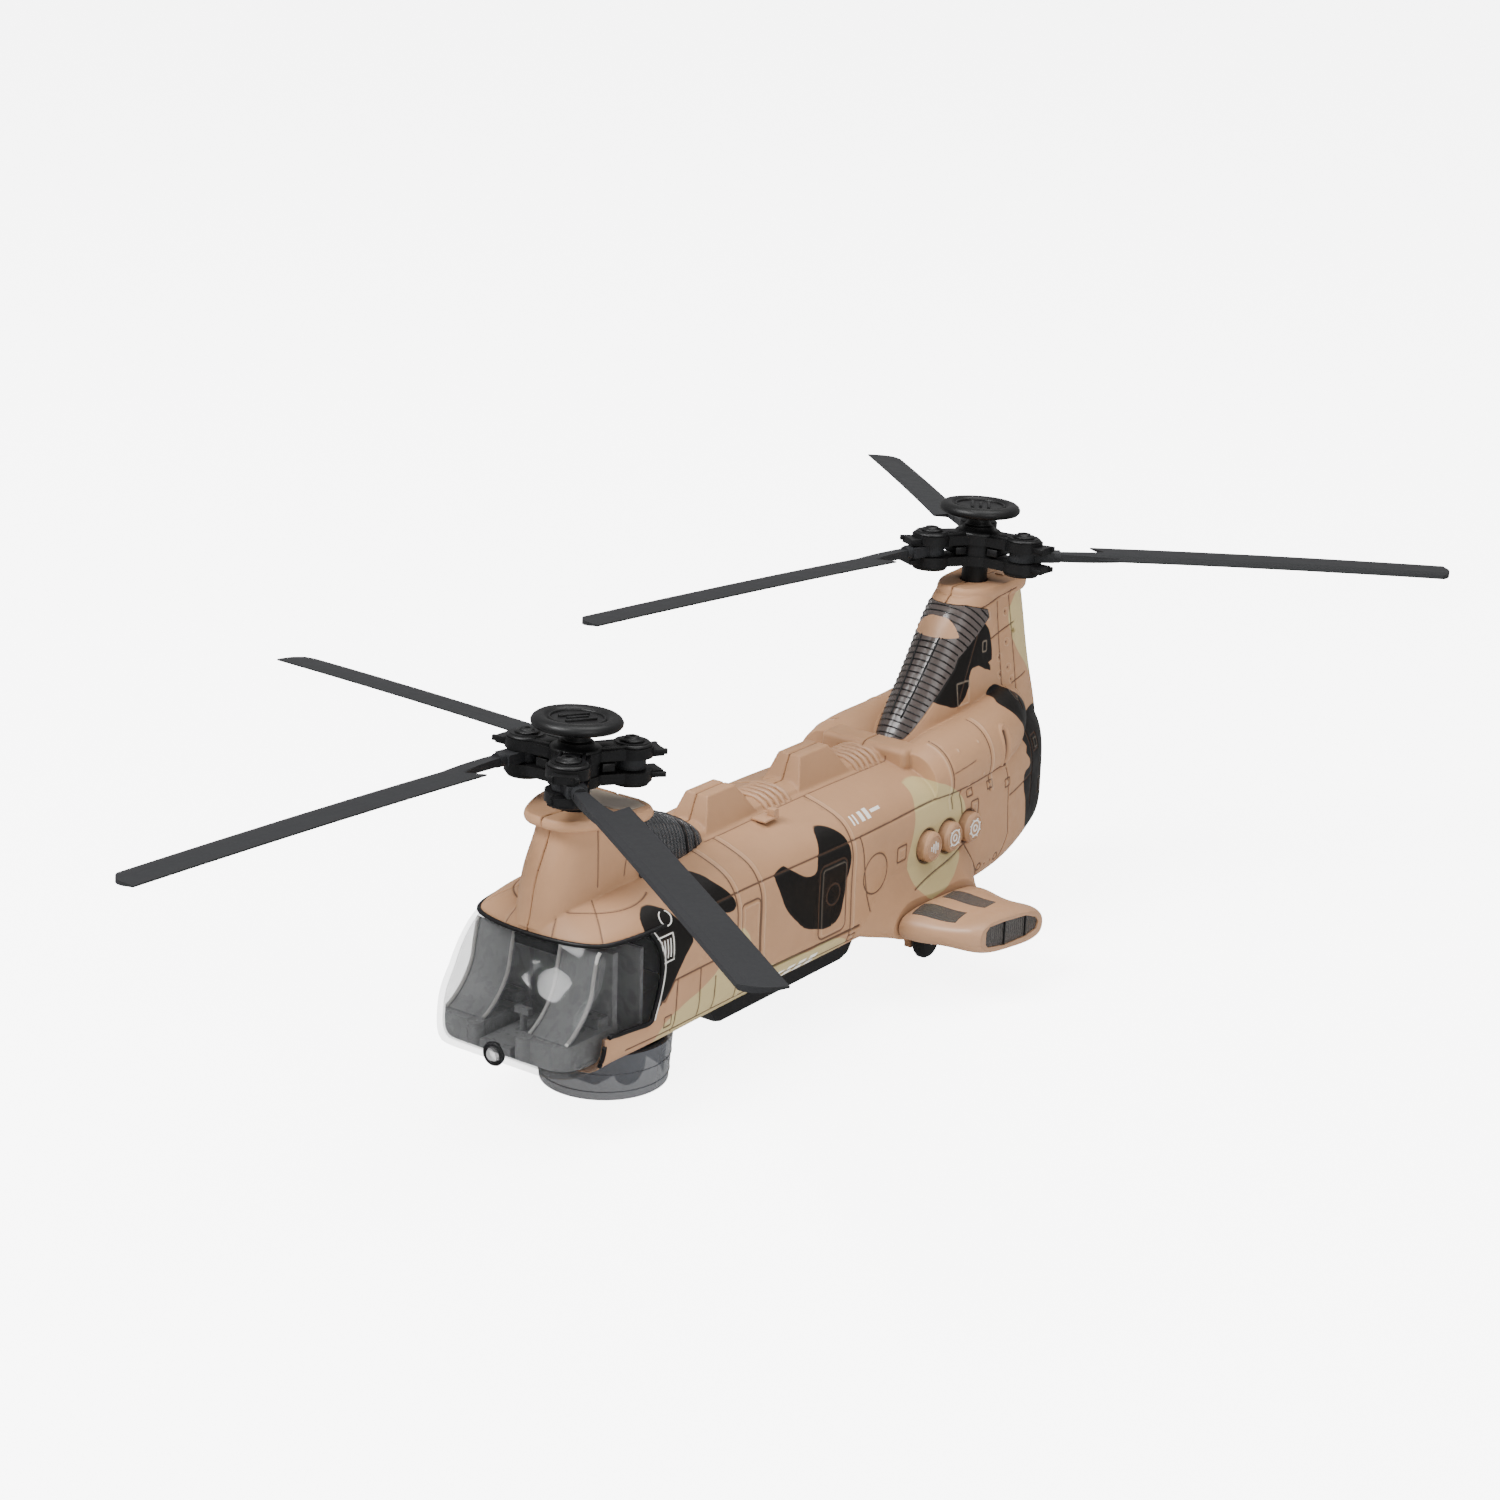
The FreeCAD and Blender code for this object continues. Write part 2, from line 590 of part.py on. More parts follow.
# ---------------------------------------------------------------- cockpit and nose lamp
def cockpit_tray():
    """Two floor ledges, a lower middle step, back panels and the bulkhead behind them."""
    floor = Part.makeBox(64.0, 48.0, 2.0, Vector(-32.0, -148.0, 11.0))
    bulkhead = Part.makeBox(66.0, 2.0, 39.0, Vector(-33.0, -100.0, 12.0))
    middle = Part.makeBox(15.0, 34.0, 6.0, Vector(-7.5, -147.0, 12.0))
    middle_back = Part.makeBox(19.0, 3.0, 36.0, Vector(-9.5, -113.0, 12.0))
    link = Part.makeBox(40.0, 14.0, 4.0, Vector(-20.0, -112.0, 12.0))
    stick = Part.makeCylinder(1.4, 9.0, Vector(0.0, -130.0, 17.0))
    grip = Part.makeBox(7.0, 2.6, 2.6, Vector(-3.5, -131.3, 25.0))
    pieces = [bulkhead, middle, middle_back, link, stick, grip]
    for side in (-1.0, 1.0):
        ledge = Part.makeBox(22.0, 33.0, 11.0, Vector(side * 20.5 - 11.0, -144.5, 12.0))
        panel = Part.makeBox(22.0, 3.0, 40.0, Vector(side * 20.5 - 11.0, -115.0, 13.0))
        step = Part.makeBox(18.0, 8.0, 5.0, Vector(side * 20.5 - 9.0, -121.0, 22.0))
        pillar = Part.makeCylinder(3.4, 11.5, Vector(side * 12.0, -144.0, 12.0))
        pieces += [ledge, panel, step, pillar]
    lamp_room = Part.makeCylinder(3.2, 20.0, Vector(0.0, -145.2, 14.0), Vector(0, -1, 0))
    return main_solid(floor.fuse(pieces).common(body_solid(canopy_wall + 0.6)).cut(lamp_room))


shape_node("cockpit_tray", cockpit_tray())
lamp = turned("nose_lamp_lens", [("0", "0"), ("2.9", "0"), ("2.9", "3.2"), ("2.2", "4.2"), ("0", "4.6")],
              Placement(Vector(0, -145.2, 14.0), Rotation(Vector(1, 0, 0), 90.0)))
node(lamp, "nose_lamp_lens")


# ---------------------------------------------------------------- rotors
def mast_place(mast, height=0.0, turn=0.0):
    """A placement on a mast axis, at a height from the hub's middle plane."""
    return mast * Placement(Vector(0, 0, height - size("hub_drop")), Rotation(Vector(0, 0, 1), turn))


def blade_shape():
    """A blade along +X from its pivot eye, leading edge on -Y, drooping to the tip."""
    reach = size("blade_reach")
    chord = size("blade_chord")
    droop = size("blade_droop")
    pitch = math.radians(size("blade_pitch"))
    lead = -3.4
    root = 34.0
    wires = []
    for share in (0.0, 0.2, 0.42, 0.64, 0.84, 1.0):
        x = root + (reach - root) * share
        sag = -droop * (x / reach) ** 1.5
        section = [(0.0, 0.0), (0.05, 1.05), (0.22, 1.35), (0.55, 1.0), (1.0, 0.35),
                   (1.0, -0.35), (0.55, -0.75), (0.22, -1.05), (0.05, -0.9)]
        points = []
        for along, up in section:
            y = lead + chord * along
            points.append(Vector(x, y, sag + y * math.sin(pitch) + up))
        wires.append(Part.makePolygon(points + points[:1]))
    wing_loft = Part.makeLoft(wires, True, False)
    round_tip = 12.0
    outline = [
        Part.makeLine(Vector(30.0, lead - 1, -30), Vector(reach - round_tip, lead - 1, -30)),
        Part.Arc(Vector(reach - round_tip, lead - 1, -30),
                 Vector(reach - 0.29 * round_tip, lead + 3.0, -30),
                 Vector(reach, lead + round_tip, -30)).toShape(),
        Part.makeLine(Vector(reach, lead + round_tip, -30), Vector(reach + 0.5, lead + chord + 1, -30)),
        Part.makeLine(Vector(reach + 0.5, lead + chord + 1, -30), Vector(root + 1.0, lead + chord + 1, -30)),
        Part.makeLine(Vector(root + 1.0, lead + chord + 1, -30), Vector(root + 6.0, lead + 0.55 * chord, -30)),
        Part.makeLine(Vector(root + 6.0, lead + 0.55 * chord, -30), Vector(30.0, lead + 0.4 * chord, -30)),
        Part.makeLine(Vector(30.0, lead + 0.4 * chord, -30), Vector(30.0, lead - 1, -30)),
    ]
    planform = Part.Face(Part.Wire(outline)).extrude(Vector(0, 0, 60))
    sail = wing_loft.common(planform)
    thickness = size("eye_thickness")
    eye = Part.makeCylinder(size("eye_radius"), thickness, Vector(0, 0, -thickness / 2))
    block = Part.makeBox(10.6, 7.6, thickness, Vector(3.0, -3.8, -thickness / 2))
    collar = Part.makeCylinder(2.9, 3.6, Vector(13.4, 0, 0), Vector(1, 0, 0))
    neck_wires = []
    neck_stations = [(11.5, -2.2, 2.2, 1.7), (26.0, -3.0, 3.0, 1.6), (44.0, lead + 0.5, 5.4, 0.9)]
    for x, low, high, half in neck_stations:
        sag = -droop * (x / reach) ** 1.5
        points = [Vector(x, y, sag + y * math.sin(pitch) * min(1.0, x / 44.0) + up) for y, up in
                  [(low, -half), (high, -half), (high, half), (low, half)]]
        neck_wires.append(Part.makePolygon(points + points[:1]))
    neck = Part.makeLoft(neck_wires, True, False)
    pin_hole = Part.makeCylinder(size("pivot_radius") + 0.06, 20.0, Vector(0, 0, -10.0))
    return main_solid(eye.fuse([block, collar, neck, sail]).cut(pin_hole))


def star_plate(name, low, inner_radius, barrel):
    """A three-armed hub plate; low is its underside from the hub's middle plane."""
    arms = [rod(name + "_disc", "10.4", "plate_thickness", (0, 0, low))]
    if barrel:
        arms.append(rod(name + "_drum", "9.6", "plate_thickness + fork_gap", (0, 0, low)))
        arms.append(rod(name + "_barrel", "barrel_radius", str(barrel), (0, 0, low - barrel)))
    else:
        arms.append(rod(name + "_collar", "collar_radius", "plate_thickness + 3.2", (0, 0, low)))
    reach = size("arm_reach")
    dish = -1.6 if barrel else 0.0
    for index in range(3):
        angle = 120.0 * index
        radians = math.radians(angle)
        centre = (reach * math.cos(radians), reach * math.sin(radians), low)
        arm = doc.addObject("Part::Box", "%s_arm_%d" % (name, index))
        bind(arm, Length="arm_reach", Width="13.6", Height="plate_thickness")
        arm.Placement = Placement(Vector(0, 0, low), Rotation(Vector(0, 0, 1), angle)) * Placement(
            Vector(0, -6.8, 0), Rotation())
        boss = rod("%s_boss_%d" % (name, index), "boss_radius", "plate_thickness", centre)
        cup_low = low + dish if barrel else low + size("plate_thickness")
        cup = rod("%s_cup_%d" % (name, index), "boss_radius - 1.8", "1.6",
                  (centre[0], centre[1], cup_low))
        arms += [arm, boss, cup]
        lug = doc.addObject("Part::Box", "%s_lug_%d" % (name, index))
        bind(lug, Length="arm_overhang", Width="9.0", Height="plate_thickness - 1.2")
        lug.Placement = Placement(Vector(0, 0, low + (0.9 if barrel else 0.0)),
                                  Rotation(Vector(0, 0, 1), angle)) * Placement(
            Vector(reach, -4.5, 0), Rotation())
        arms.append(lug)
    holes = [rod(name + "_bore", str(inner_radius), "60", (0, 0, low - 30.0))]
    for index in range(3):
        radians = math.radians(120.0 * index)
        holes.append(rod("%s_hole_%d" % (name, index), "pivot_radius", "40",
                         (reach * math.cos(radians), reach * math.sin(radians), low - 20.0)))
    return cut(name, fuse(name + "_solid", arms), fuse(name + "_holes", holes))


def gear_shape(teeth, first, bore):
    """A spur gear with straight-sided teeth; first is the angle of one tooth in degrees."""
    module = size("gear_module")
    pitch_radius = module * teeth / 2
    step = 2 * math.pi / teeth
    corners = []
    for index in range(teeth):
        centre = math.radians(first) + index * step
        for offset, rise in [(-0.27, -1.15), (-0.10, 0.75), (0.10, 0.75), (0.27, -1.15)]:
            radius = pitch_radius + rise * module
            angle = centre + offset * step
            corners.append(Vector(radius * math.cos(angle), radius * math.sin(angle), 0))
    disc = Part.Face(Part.makePolygon(corners + corners[:1])).extrude(Vector(0, 0, size("gear_face")))
    return disc.cut(Part.makeCylinder(bore, 20.0, Vector(0, 0, -5.0)))


ROTORS = {
    "front": (front_mast, size("front_phase"), (108.7, 84.6, 23.6), front_foot),
    "rear": (rear_mast, size("rear_phase"), (12.3, 18.2, 47.0), rear_foot),
}
blade = blade_shape()
pinion_place = size("gear_module") * (size("pinion_teeth") + size("wheel_teeth")) / 2
pinion_shift = Placement(Vector(0, pinion_place, 0), Rotation())
half_fork = size("fork_gap") / 2
plate_thickness = size("plate_thickness")

for end, (mast, phase, sweeps, foot) in ROTORS.items():
    hub = mast_place(mast, 0.0, phase)
    barrel = 3.1 - foot - size("hub_drop") - half_fork - plate_thickness
    gear_low = size("gear_height") - mast.Base.z + size("hub_drop")
    lower_low = -half_fork - plate_thickness
    lower = star_plate(end + "_hub_lower_plate", lower_low, size("shaft_radius"), barrel)
    lower.Placement = hub
    node(lower, end + "_hub_lower_plate")
    upper = star_plate(end + "_hub_upper_plate", half_fork, size("shaft_radius"), 0.0)
    upper.Placement = hub
    node(upper, end + "_hub_upper_plate")
    neck_low = "fork_gap / 2 + plate_thickness + 3.2"
    rim_low = "hub_drop + 11.8 - knob_thickness / 2"
    knob = turned(end + "_hub_knob", [
        ("shaft_radius", neck_low), ("neck_radius", neck_low), ("neck_radius", rim_low),
        ("knob_radius - 4.2", rim_low), ("knob_radius - 1.2", rim_low + " + 0.7"),
        ("knob_radius", rim_low + " + 2.1"), ("knob_radius - 0.2", rim_low + " + 3.2"),
        ("knob_radius - 1.8", rim_low + " + knob_thickness - 0.3"),
        ("knob_radius - 5.0", rim_low + " + knob_thickness"),
        ("knob_radius - 5.6", rim_low + " + knob_thickness - 0.8"),
        ("0", rim_low + " + knob_thickness - 0.2"), ("0", rim_low + " - 0.1"),
        ("shaft_radius", rim_low + " - 0.1"),
    ], hub)
    node(knob, end + "_hub_knob")
    shaft = rod(end + "_rotor_shaft", "shaft_radius", str(-gear_low + 5.5 + size("hub_drop") + 9.0),
                (0, 0, 0))
    shaft.Placement = mast_place(mast, gear_low - 5.5)
    node(shaft, end + "_rotor_shaft")
    bush = turned(end + "_rotor_bush", [
        ("shaft_radius + shaft_clearance", "0"), ("shaft_radius + 1.95", "0"),
        ("shaft_radius + 1.95", "8.0"), ("shaft_radius + shaft_clearance", "8.0"),
    ], mast_place(mast, foot - 11.8 + size("hub_drop")))
    node(bush, end + "_rotor_bush")
    screws = []
    for index in range(3):
        radians = math.radians(120.0 * index)
        centre = Vector(size("arm_reach") * math.cos(radians), size("arm_reach") * math.sin(radians), 0)
        low = -half_fork - plate_thickness - 1.2
        stem = Part.makeCylinder(size("pivot_radius"), half_fork + plate_thickness + 1.6 - low,
                                 centre + Vector(0, 0, low))
        head = Part.makeCylinder(2.7, 1.4, centre + Vector(0, 0, half_fork + plate_thickness + 1.6))
        slot = Part.makeBox(6.0, 0.7, 1.0, centre + Vector(-3.0, -0.35, half_fork + plate_thickness + 2.3))
        screws.append(stem.fuse([head]).cut(slot))
    group = shape_node(end + "_pivot_screws", Part.makeCompound([main_solid(item) for item in screws]))
    group.Placement = hub
    for index, sweep in enumerate(sweeps):
        arm_angle = 120.0 * index
        radians = math.radians(arm_angle)
        item = shape_node("%s_blade_%d" % (end, index + 1), blade.copy())
        item.Placement = hub * Placement(
            Vector(size("arm_reach") * math.cos(radians), size("arm_reach") * math.sin(radians), 0),
            Rotation(Vector(0, 0, 1), arm_angle + sweep))
    wheel_gear = gear_shape(int(size("wheel_teeth")), 90.0, size("shaft_radius"))
    wheel = shape_node(end + "_rotor_gear", wheel_gear)
    wheel.Placement = mast_place(mast, gear_low)
    pinion_gear = gear_shape(int(size("pinion_teeth")), 270.0 + 18.0, 1.0)
    pinion = shape_node(end + "_motor_pinion", pinion_gear)
    pinion.Placement = mast_place(mast, gear_low) * pinion_shift
    motor = turned(end + "_motor", [
        ("0", "0"), ("4.0", "0"), ("4.0", "1.5"), ("motor_radius", "1.5"),
        ("motor_radius", "motor_length"), ("3.0", "motor_length"), ("3.0", "motor_length + 1.2"),
        ("0.95", "motor_length + 1.2"), ("0.95", "motor_length + 7.0"), ("0", "motor_length + 7.0"),
    ], mast_place(mast, gear_low - 4.2 - size("motor_length")) * pinion_shift)
    node(motor, end + "_motor")
    plate = fuse(end + "_plate_solid", [
        box(end + "_plate_slab", "24", "42", "2.0", (-12.0, -11.0, 0)),
        rod(end + "_plate_seat", "4.6", "3.0", (0, 0, -3.0)),
    ])
    plate_holes = fuse(end + "_plate_holes", [
        rod(end + "_plate_shaft_hole", "shaft_radius + shaft_clearance", "12", (0, 0, -6.0)),
        rod(end + "_plate_motor_hole", "3.1", "8", (0, pinion_place, -3.0)),
    ])
    gear_plate = cut(end + "_gear_plate", plate, plate_holes)
    gear_plate.Placement = mast_place(mast, gear_low - 4.0)
    node(gear_plate, end + "_gear_plate")

# ---------------------------------------------------------------- running gear
sideways = Rotation(Vector(0, 1, 0), 90.0)
ring_height = "ring_height"
ring_low = size("ground") + 0.7
ring = turned("turret_ring", [
    ("ring_bottom_radius - ring_wall", "0"), ("ring_bottom_radius", "0"),
    ("ring_top_radius", ring_height), ("ring_top_radius - ring_wall", ring_height),
], Placement(Vector(0, size("turret_axis"), ring_low), Rotation()))
node(ring, "turret_ring")
ring_bore = "ring_top_radius - ring_wall"
base = turned("turret_base", [
    ("0", "0"), (ring_bore + " - 2.0 * (ring_top_radius - ring_bottom_radius) / ring_height", "0"),
    (ring_bore, "2.0"), (ring_bore, "2.6"),
    ("ring_top_radius - 5.0", "2.6"), ("ring_top_radius - 5.0", "4.6"), ("5.0", "4.6"),
    ("5.0", "13.2"), ("0", "13.2"),
], Placement(Vector(0, size("turret_axis"), ring_low + size("ring_height") - 2.0), Rotation()))
node(base, "turret_base")
drive_z = size("ground") + size("drive_wheel_radius")
drive_axle = rod("drive_axle", "axle_radius", "2 * drive_track + 6.0",
                 (-size("drive_track") - 3.0, size("turret_axis"), drive_z), (1, 0, 0))
node(drive_axle, "drive_axle")
gearbox_solid = box("turret_gearbox_case", "14.0", "28.0", "16.0",
                    (-7.0, size("turret_axis") - 14.0, drive_z - 6.2))
gearbox_bore = rod("turret_gearbox_bore", "axle_radius + 0.08", "30",
                   (-15.0, size("turret_axis"), drive_z), (1, 0, 0))
node(cut("turret_gearbox", gearbox_solid, gearbox_bore), "turret_gearbox")


def wheel_body(label, radius, x, y, z):
    """A moulded wheel with a rounded tread, centred on its axle at x."""
    return node(turned(label, [
        ("axle_radius", "0 - tyre_width / 2"), (radius + " - 2.2", "0 - tyre_width / 2"),
        (radius + " - 0.9", "0.7 - tyre_width / 2"), (radius, "2.0 - tyre_width / 2"),
        (radius, "tyre_width / 2 - 2.0"), (radius + " - 0.9", "tyre_width / 2 - 0.7"),
        (radius + " - 2.2", "tyre_width / 2"), ("axle_radius", "tyre_width / 2"),
    ], Placement(Vector(x, y, z), sideways)), label)


for side, sign in (("port", 1.0), ("starboard", -1.0)):
    wheel_body("drive_wheel_" + side, "drive_wheel_radius", sign * size("drive_track"),
               size("turret_axis"), drive_z)
    wheel_body("rear_wheel_" + side, "rear_wheel_radius", sign * size("rear_track"), axle_y, axle_z)
node(rod("rear_axle", "axle_radius", "2 * rear_track + 7.0",
         (-size("rear_track") - 3.5, axle_y, axle_z), (1, 0, 0)), "rear_axle")

# ---------------------------------------------------------------- battery box and electrics
keel_front = size("keel_front")
keel_back = size("keel_back")
keel_half = size("keel_half_width")


def keel_shape():
    """The black battery box: a keel plate with sloped ends and a tub rising into the belly."""
    outline = [(keel_front, 6.8), (keel_front + 4.0, 1.2), (keel_front + 8.0, 0.0),
               (keel_back - 8.0, 0.0), (keel_back - 4.0, 1.2), (keel_back, 6.8)]
    plate = prism(outline, -keel_half, keel_half)
    rims = [item for item in plate.Edges if abs(item.BoundBox.XMax) > keel_half - 0.1
            and item.BoundBox.XLength < 0.1 and item.BoundBox.ZMax < 6.7]
    plate = plate.makeFillet(1.4, rims)
    tub = Part.makeBox(54.0, 60.0, 16.0, Vector(-27.0, -33.0, 5.0))
    bay = Part.makeBox(50.4, 56.0, 30.0, Vector(-25.2, -31.0, -5.0))
    recess = Part.makeBox(54.4, 67.4, 2.3, Vector(-27.2, -39.2, -0.3))
    slot = Part.makeBox(13.0, 5.4, 10.0, Vector(-6.5, 33.3, -2.0))
    pocket = Part.makeBox(17.0, 9.4, 6.0, Vector(-8.5, 31.3, 2.0))
    screw_room = Part.makeCylinder(1.25, 7.5, Vector(0, -36.0, -1.0))
    lid = Part.makeBox(54.0, 60.0, 1.4, Vector(-27.0, -33.0, 19.6))
    return main_solid(plate.fuse([tub]).cut([bay, recess, slot, pocket, screw_room]).fuse([lid]))


shape_node("battery_box", keel_shape())
door = Part.makeBox(54.0, 67.0, 1.9, Vector(-27.0, -39.0, 0.0))
door = door.cut([Part.makeCylinder(1.4, 6.0, Vector(0, -36.0, -1.0)),
                 Part.makeCylinder(2.6, 2.1, Vector(0, -36.0, -1.0))])
shape_node("battery_door", main_solid(door))
cells = []
for index in (-1, 0, 1):
    x = index * size("cell_pitch")
    cell = Part.makeCylinder(size("cell_radius"), size("cell_length"), Vector(x, -28.0, 10.6),
                             Vector(0, 1, 0))
    tip = Part.makeCylinder(2.6, 1.2, Vector(x, -29.2, 10.6), Vector(0, 1, 0))
    cells.append(main_solid(cell.fuse(tip)))
shape_node("battery_cells", Part.makeCompound(cells))
contacts = []
for index in (-1, 0, 1):
    x = index * size("cell_pitch")
    contacts.append(Part.makeBox(10.0, 0.5, 9.0, Vector(x - 5.0, -30.4, 6.0)))
    spring = Part.makeCone(3.8, 2.0, 2.2, Vector(x, 24.3, 10.6), Vector(0, -1, 0))
    contacts.append(main_solid(Part.makeBox(10.0, 0.5, 9.0, Vector(x - 5.0, 24.3, 6.0)).fuse(spring)))
shape_node("battery_contacts", Part.makeCompound(contacts))
door_screw = turned("battery_door_screw", [
    ("0", "0.2"), ("2.4", "0.2"), ("2.4", "1.1"), ("1.2", "1.1"), ("1.2", "6.3"), ("0", "6.3"),
], Placement(Vector(0, -36.0, 0), Rotation()))
node(door_screw, "battery_door_screw")
switch = fuse("power_switch", [
    box("power_switch_plate", "10.0", "8.6", "1.6", (-7.0, 31.7, 3.2)),
    box("power_switch_thumb", "4.0", "4.6", "4.4", (-4.5, 33.7, -0.8)),
])
node(switch, "power_switch")

board = Part.makeBox(1.6, 62.0, 22.0, Vector(22.6, 77.0, 30.0))
chips = [Part.makeBox(1.4, 10.0, 8.0, Vector(21.2, 96.0, 32.0)),
         Part.makeBox(2.4, 6.0, 6.0, Vector(20.2, 82.0, 41.0))]
tacts = [Part.makeBox(3.4, 6.0, 6.0, Vector(24.2, y - 3.0, button_z - 3.0)) for y in button_places]
shape_node("circuit_board", main_solid(board.fuse(chips + tacts)))
speaker = turned("speaker", [
    ("0", "0"), ("14.0", "0"), ("14.0", "2.0"), ("12.0", "4.2"), ("6.5", "4.2"), ("6.5", "9.0"), ("0", "9.0"),
], Placement(Vector(0, 76.0, 9.6), Rotation()))
node(speaker, "speaker")
for label, y in zip(("button_sound", "button_light", "button_mode"), button_places):
    node(turned(label, [
        ("0", "0"), ("2.0", "0"), ("2.0", "4.2"), ("button_radius + 0.9", "4.2"),
        ("button_radius + 0.9", "5.4"), ("button_radius", "5.4"), ("button_radius", "11.2"),
        ("button_radius - 0.8", "12.2"), ("0", "12.5"),
    ], Placement(Vector(29.4, y, button_z), sideways)), label)

fasteners = []
for y, z in TOWERS:
    stem = Part.makeCylinder(1.1, 17.0, Vector(-8.0, y, z), Vector(1, 0, 0))
    head = Part.makeCylinder(2.5, 1.8, Vector(-9.8, y, z), Vector(1, 0, 0))
    fasteners.append(main_solid(stem.fuse(head)))
shape_node("shell_screws", Part.makeCompound(fasteners))


def finish():
    """Check every feature, then write one STEP file for each node."""
    sheet.clear("D1")
    doc.recompute()
    for item in doc.Objects:
        if "Invalid" in item.State or "Error" in item.State:
            raise RuntimeError("%s failed: %s" % (item.Label, item.State))
    os.makedirs("parts", exist_ok=True)
    for item in nodes:
        shape = item.Shape
        if shape.isNull() or not shape.isValid() or not shape.Solids:
            raise RuntimeError("%s has no valid shape" % item.Label)
        shape.exportStep("parts/%s.step" % item.Label)
    print("%d nodes written" % len(nodes))


finish()
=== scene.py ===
import math

import bmesh
import bpy
import numpy as np
from mathutils import Matrix, Vector
from mathutils.bvhtree import BVHTree


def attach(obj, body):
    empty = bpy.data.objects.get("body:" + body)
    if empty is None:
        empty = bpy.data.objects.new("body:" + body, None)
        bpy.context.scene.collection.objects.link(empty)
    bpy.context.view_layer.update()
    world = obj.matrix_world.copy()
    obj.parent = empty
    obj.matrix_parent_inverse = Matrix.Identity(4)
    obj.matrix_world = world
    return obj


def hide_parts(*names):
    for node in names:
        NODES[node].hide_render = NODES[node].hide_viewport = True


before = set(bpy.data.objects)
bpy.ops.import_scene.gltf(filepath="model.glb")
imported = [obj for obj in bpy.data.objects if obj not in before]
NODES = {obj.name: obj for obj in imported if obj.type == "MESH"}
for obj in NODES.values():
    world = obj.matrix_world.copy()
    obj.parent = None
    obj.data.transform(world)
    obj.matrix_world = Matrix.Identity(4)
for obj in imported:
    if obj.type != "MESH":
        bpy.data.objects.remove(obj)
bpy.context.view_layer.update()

MM = 0.001


# ---------------------------------------------------------------- materials
class Nodes:
    """A short way to build one material's node tree."""

    def __init__(self, name):
        self.material = bpy.data.materials.new(name)
        self.material.use_nodes = True
        self.tree = self.material.node_tree
        self.shader = self.tree.nodes["Principled BSDF"]
        self.place = self.new("ShaderNodeTexCoord").outputs["Object"]

    def new(self, kind, **settings):
        item = self.tree.nodes.new(kind)
        for key, value in settings.items():
            setattr(item, key, value)
        return item

    def feed(self, socket, value):
        if isinstance(value, bpy.types.NodeSocket):
            self.tree.links.new(value, socket)
        else:
            socket.default_value = value

    def math(self, operation, *values, clamp=False):
        item = self.new("ShaderNodeMath", operation=operation, use_clamp=clamp)
        for index, value in enumerate(values):
            self.feed(item.inputs[index], value)
        return item.outputs[0]

    def noise(self, scale, detail=2.0, rough=0.5, place=None):
        item = self.new("ShaderNodeTexNoise")
        self.feed(item.inputs["Vector"], place or self.place)
        item.inputs["Scale"].default_value = scale
        item.inputs["Detail"].default_value = detail
        item.inputs["Roughness"].default_value = rough
        return item.outputs["Fac"]

    def ramp(self, value, low, high, start=0.0, end=1.0):
        item = self.new("ShaderNodeMapRange", interpolation_type="SMOOTHSTEP")
        self.feed(item.inputs["Value"], value)
        item.inputs["From Min"].default_value = low
        item.inputs["From Max"].default_value = high
        item.inputs["To Min"].default_value = start
        item.inputs["To Max"].default_value = end
        return item.outputs["Result"]

    def mix(self, share, first, second):
        item = self.new("ShaderNodeMix", data_type="RGBA")
        self.feed(item.inputs[0], share)
        self.feed(item.inputs[6], first)
        self.feed(item.inputs[7], second)
        return item.outputs[2]

    def bump(self, height, strength, distance):
        item = self.new("ShaderNodeBump")
        item.inputs["Strength"].default_value = strength
        item.inputs["Distance"].default_value = distance
        self.feed(item.inputs["Height"], height)
        self.feed(self.shader.inputs["Normal"], item.outputs["Normal"])


def plastic(name, colour, rough=0.42, tone=0.06, grain=0.12, scale=2600.0, shine=0.5):
    """Moulded plastic: a little uneven in tone and gloss, with a fine tool grain."""
    item = Nodes(name)
    broad = item.noise(38.0, 3.0)
    darker = tuple(c * (1.0 - tone) for c in colour) + (1.0,)
    lighter = tuple(min(1.0, c * (1.0 + tone)) for c in colour) + (1.0,)
    item.feed(item.shader.inputs["Base Color"], item.mix(item.ramp(broad, 0.3, 0.7), darker, lighter))
    gloss = item.ramp(item.noise(160.0, 4.0, 0.6), 0.25, 0.75, rough - 0.05, rough + 0.06)
    item.feed(item.shader.inputs["Roughness"], gloss)
    item.bump(item.noise(scale, 2.0), grain, 0.00012)
    item.shader.inputs["Specular IOR Level"].default_value = shine
    return item.material


def clear_nodes(name, colour, alpha, rough, grain, shine):
    """The node tree of a tinted see-through moulding with slightly wavy gloss."""
    item = Nodes(name)
    tone = item.ramp(item.noise(30.0, 3.0), 0.3, 0.7)
    item.feed(item.shader.inputs["Base Color"],
              item.mix(tone, tuple(c * 0.85 for c in colour) + (1.0,), tuple(colour) + (1.0,)))
    item.feed(item.shader.inputs["Roughness"],
              item.ramp(item.noise(220.0, 3.0), 0.3, 0.7, rough, rough + 0.07))
    item.shader.inputs["Alpha"].default_value = alpha
    item.shader.inputs["IOR"].default_value = 1.5
    item.shader.inputs["Specular IOR Level"].default_value = shine
    item.bump(item.noise(55.0, 2.0), grain, 0.0006)
    return item


def clear(name, colour, alpha, rough=0.06, grain=0.05, shine=0.4):
    return clear_nodes(name, colour, alpha, rough, grain, shine).material


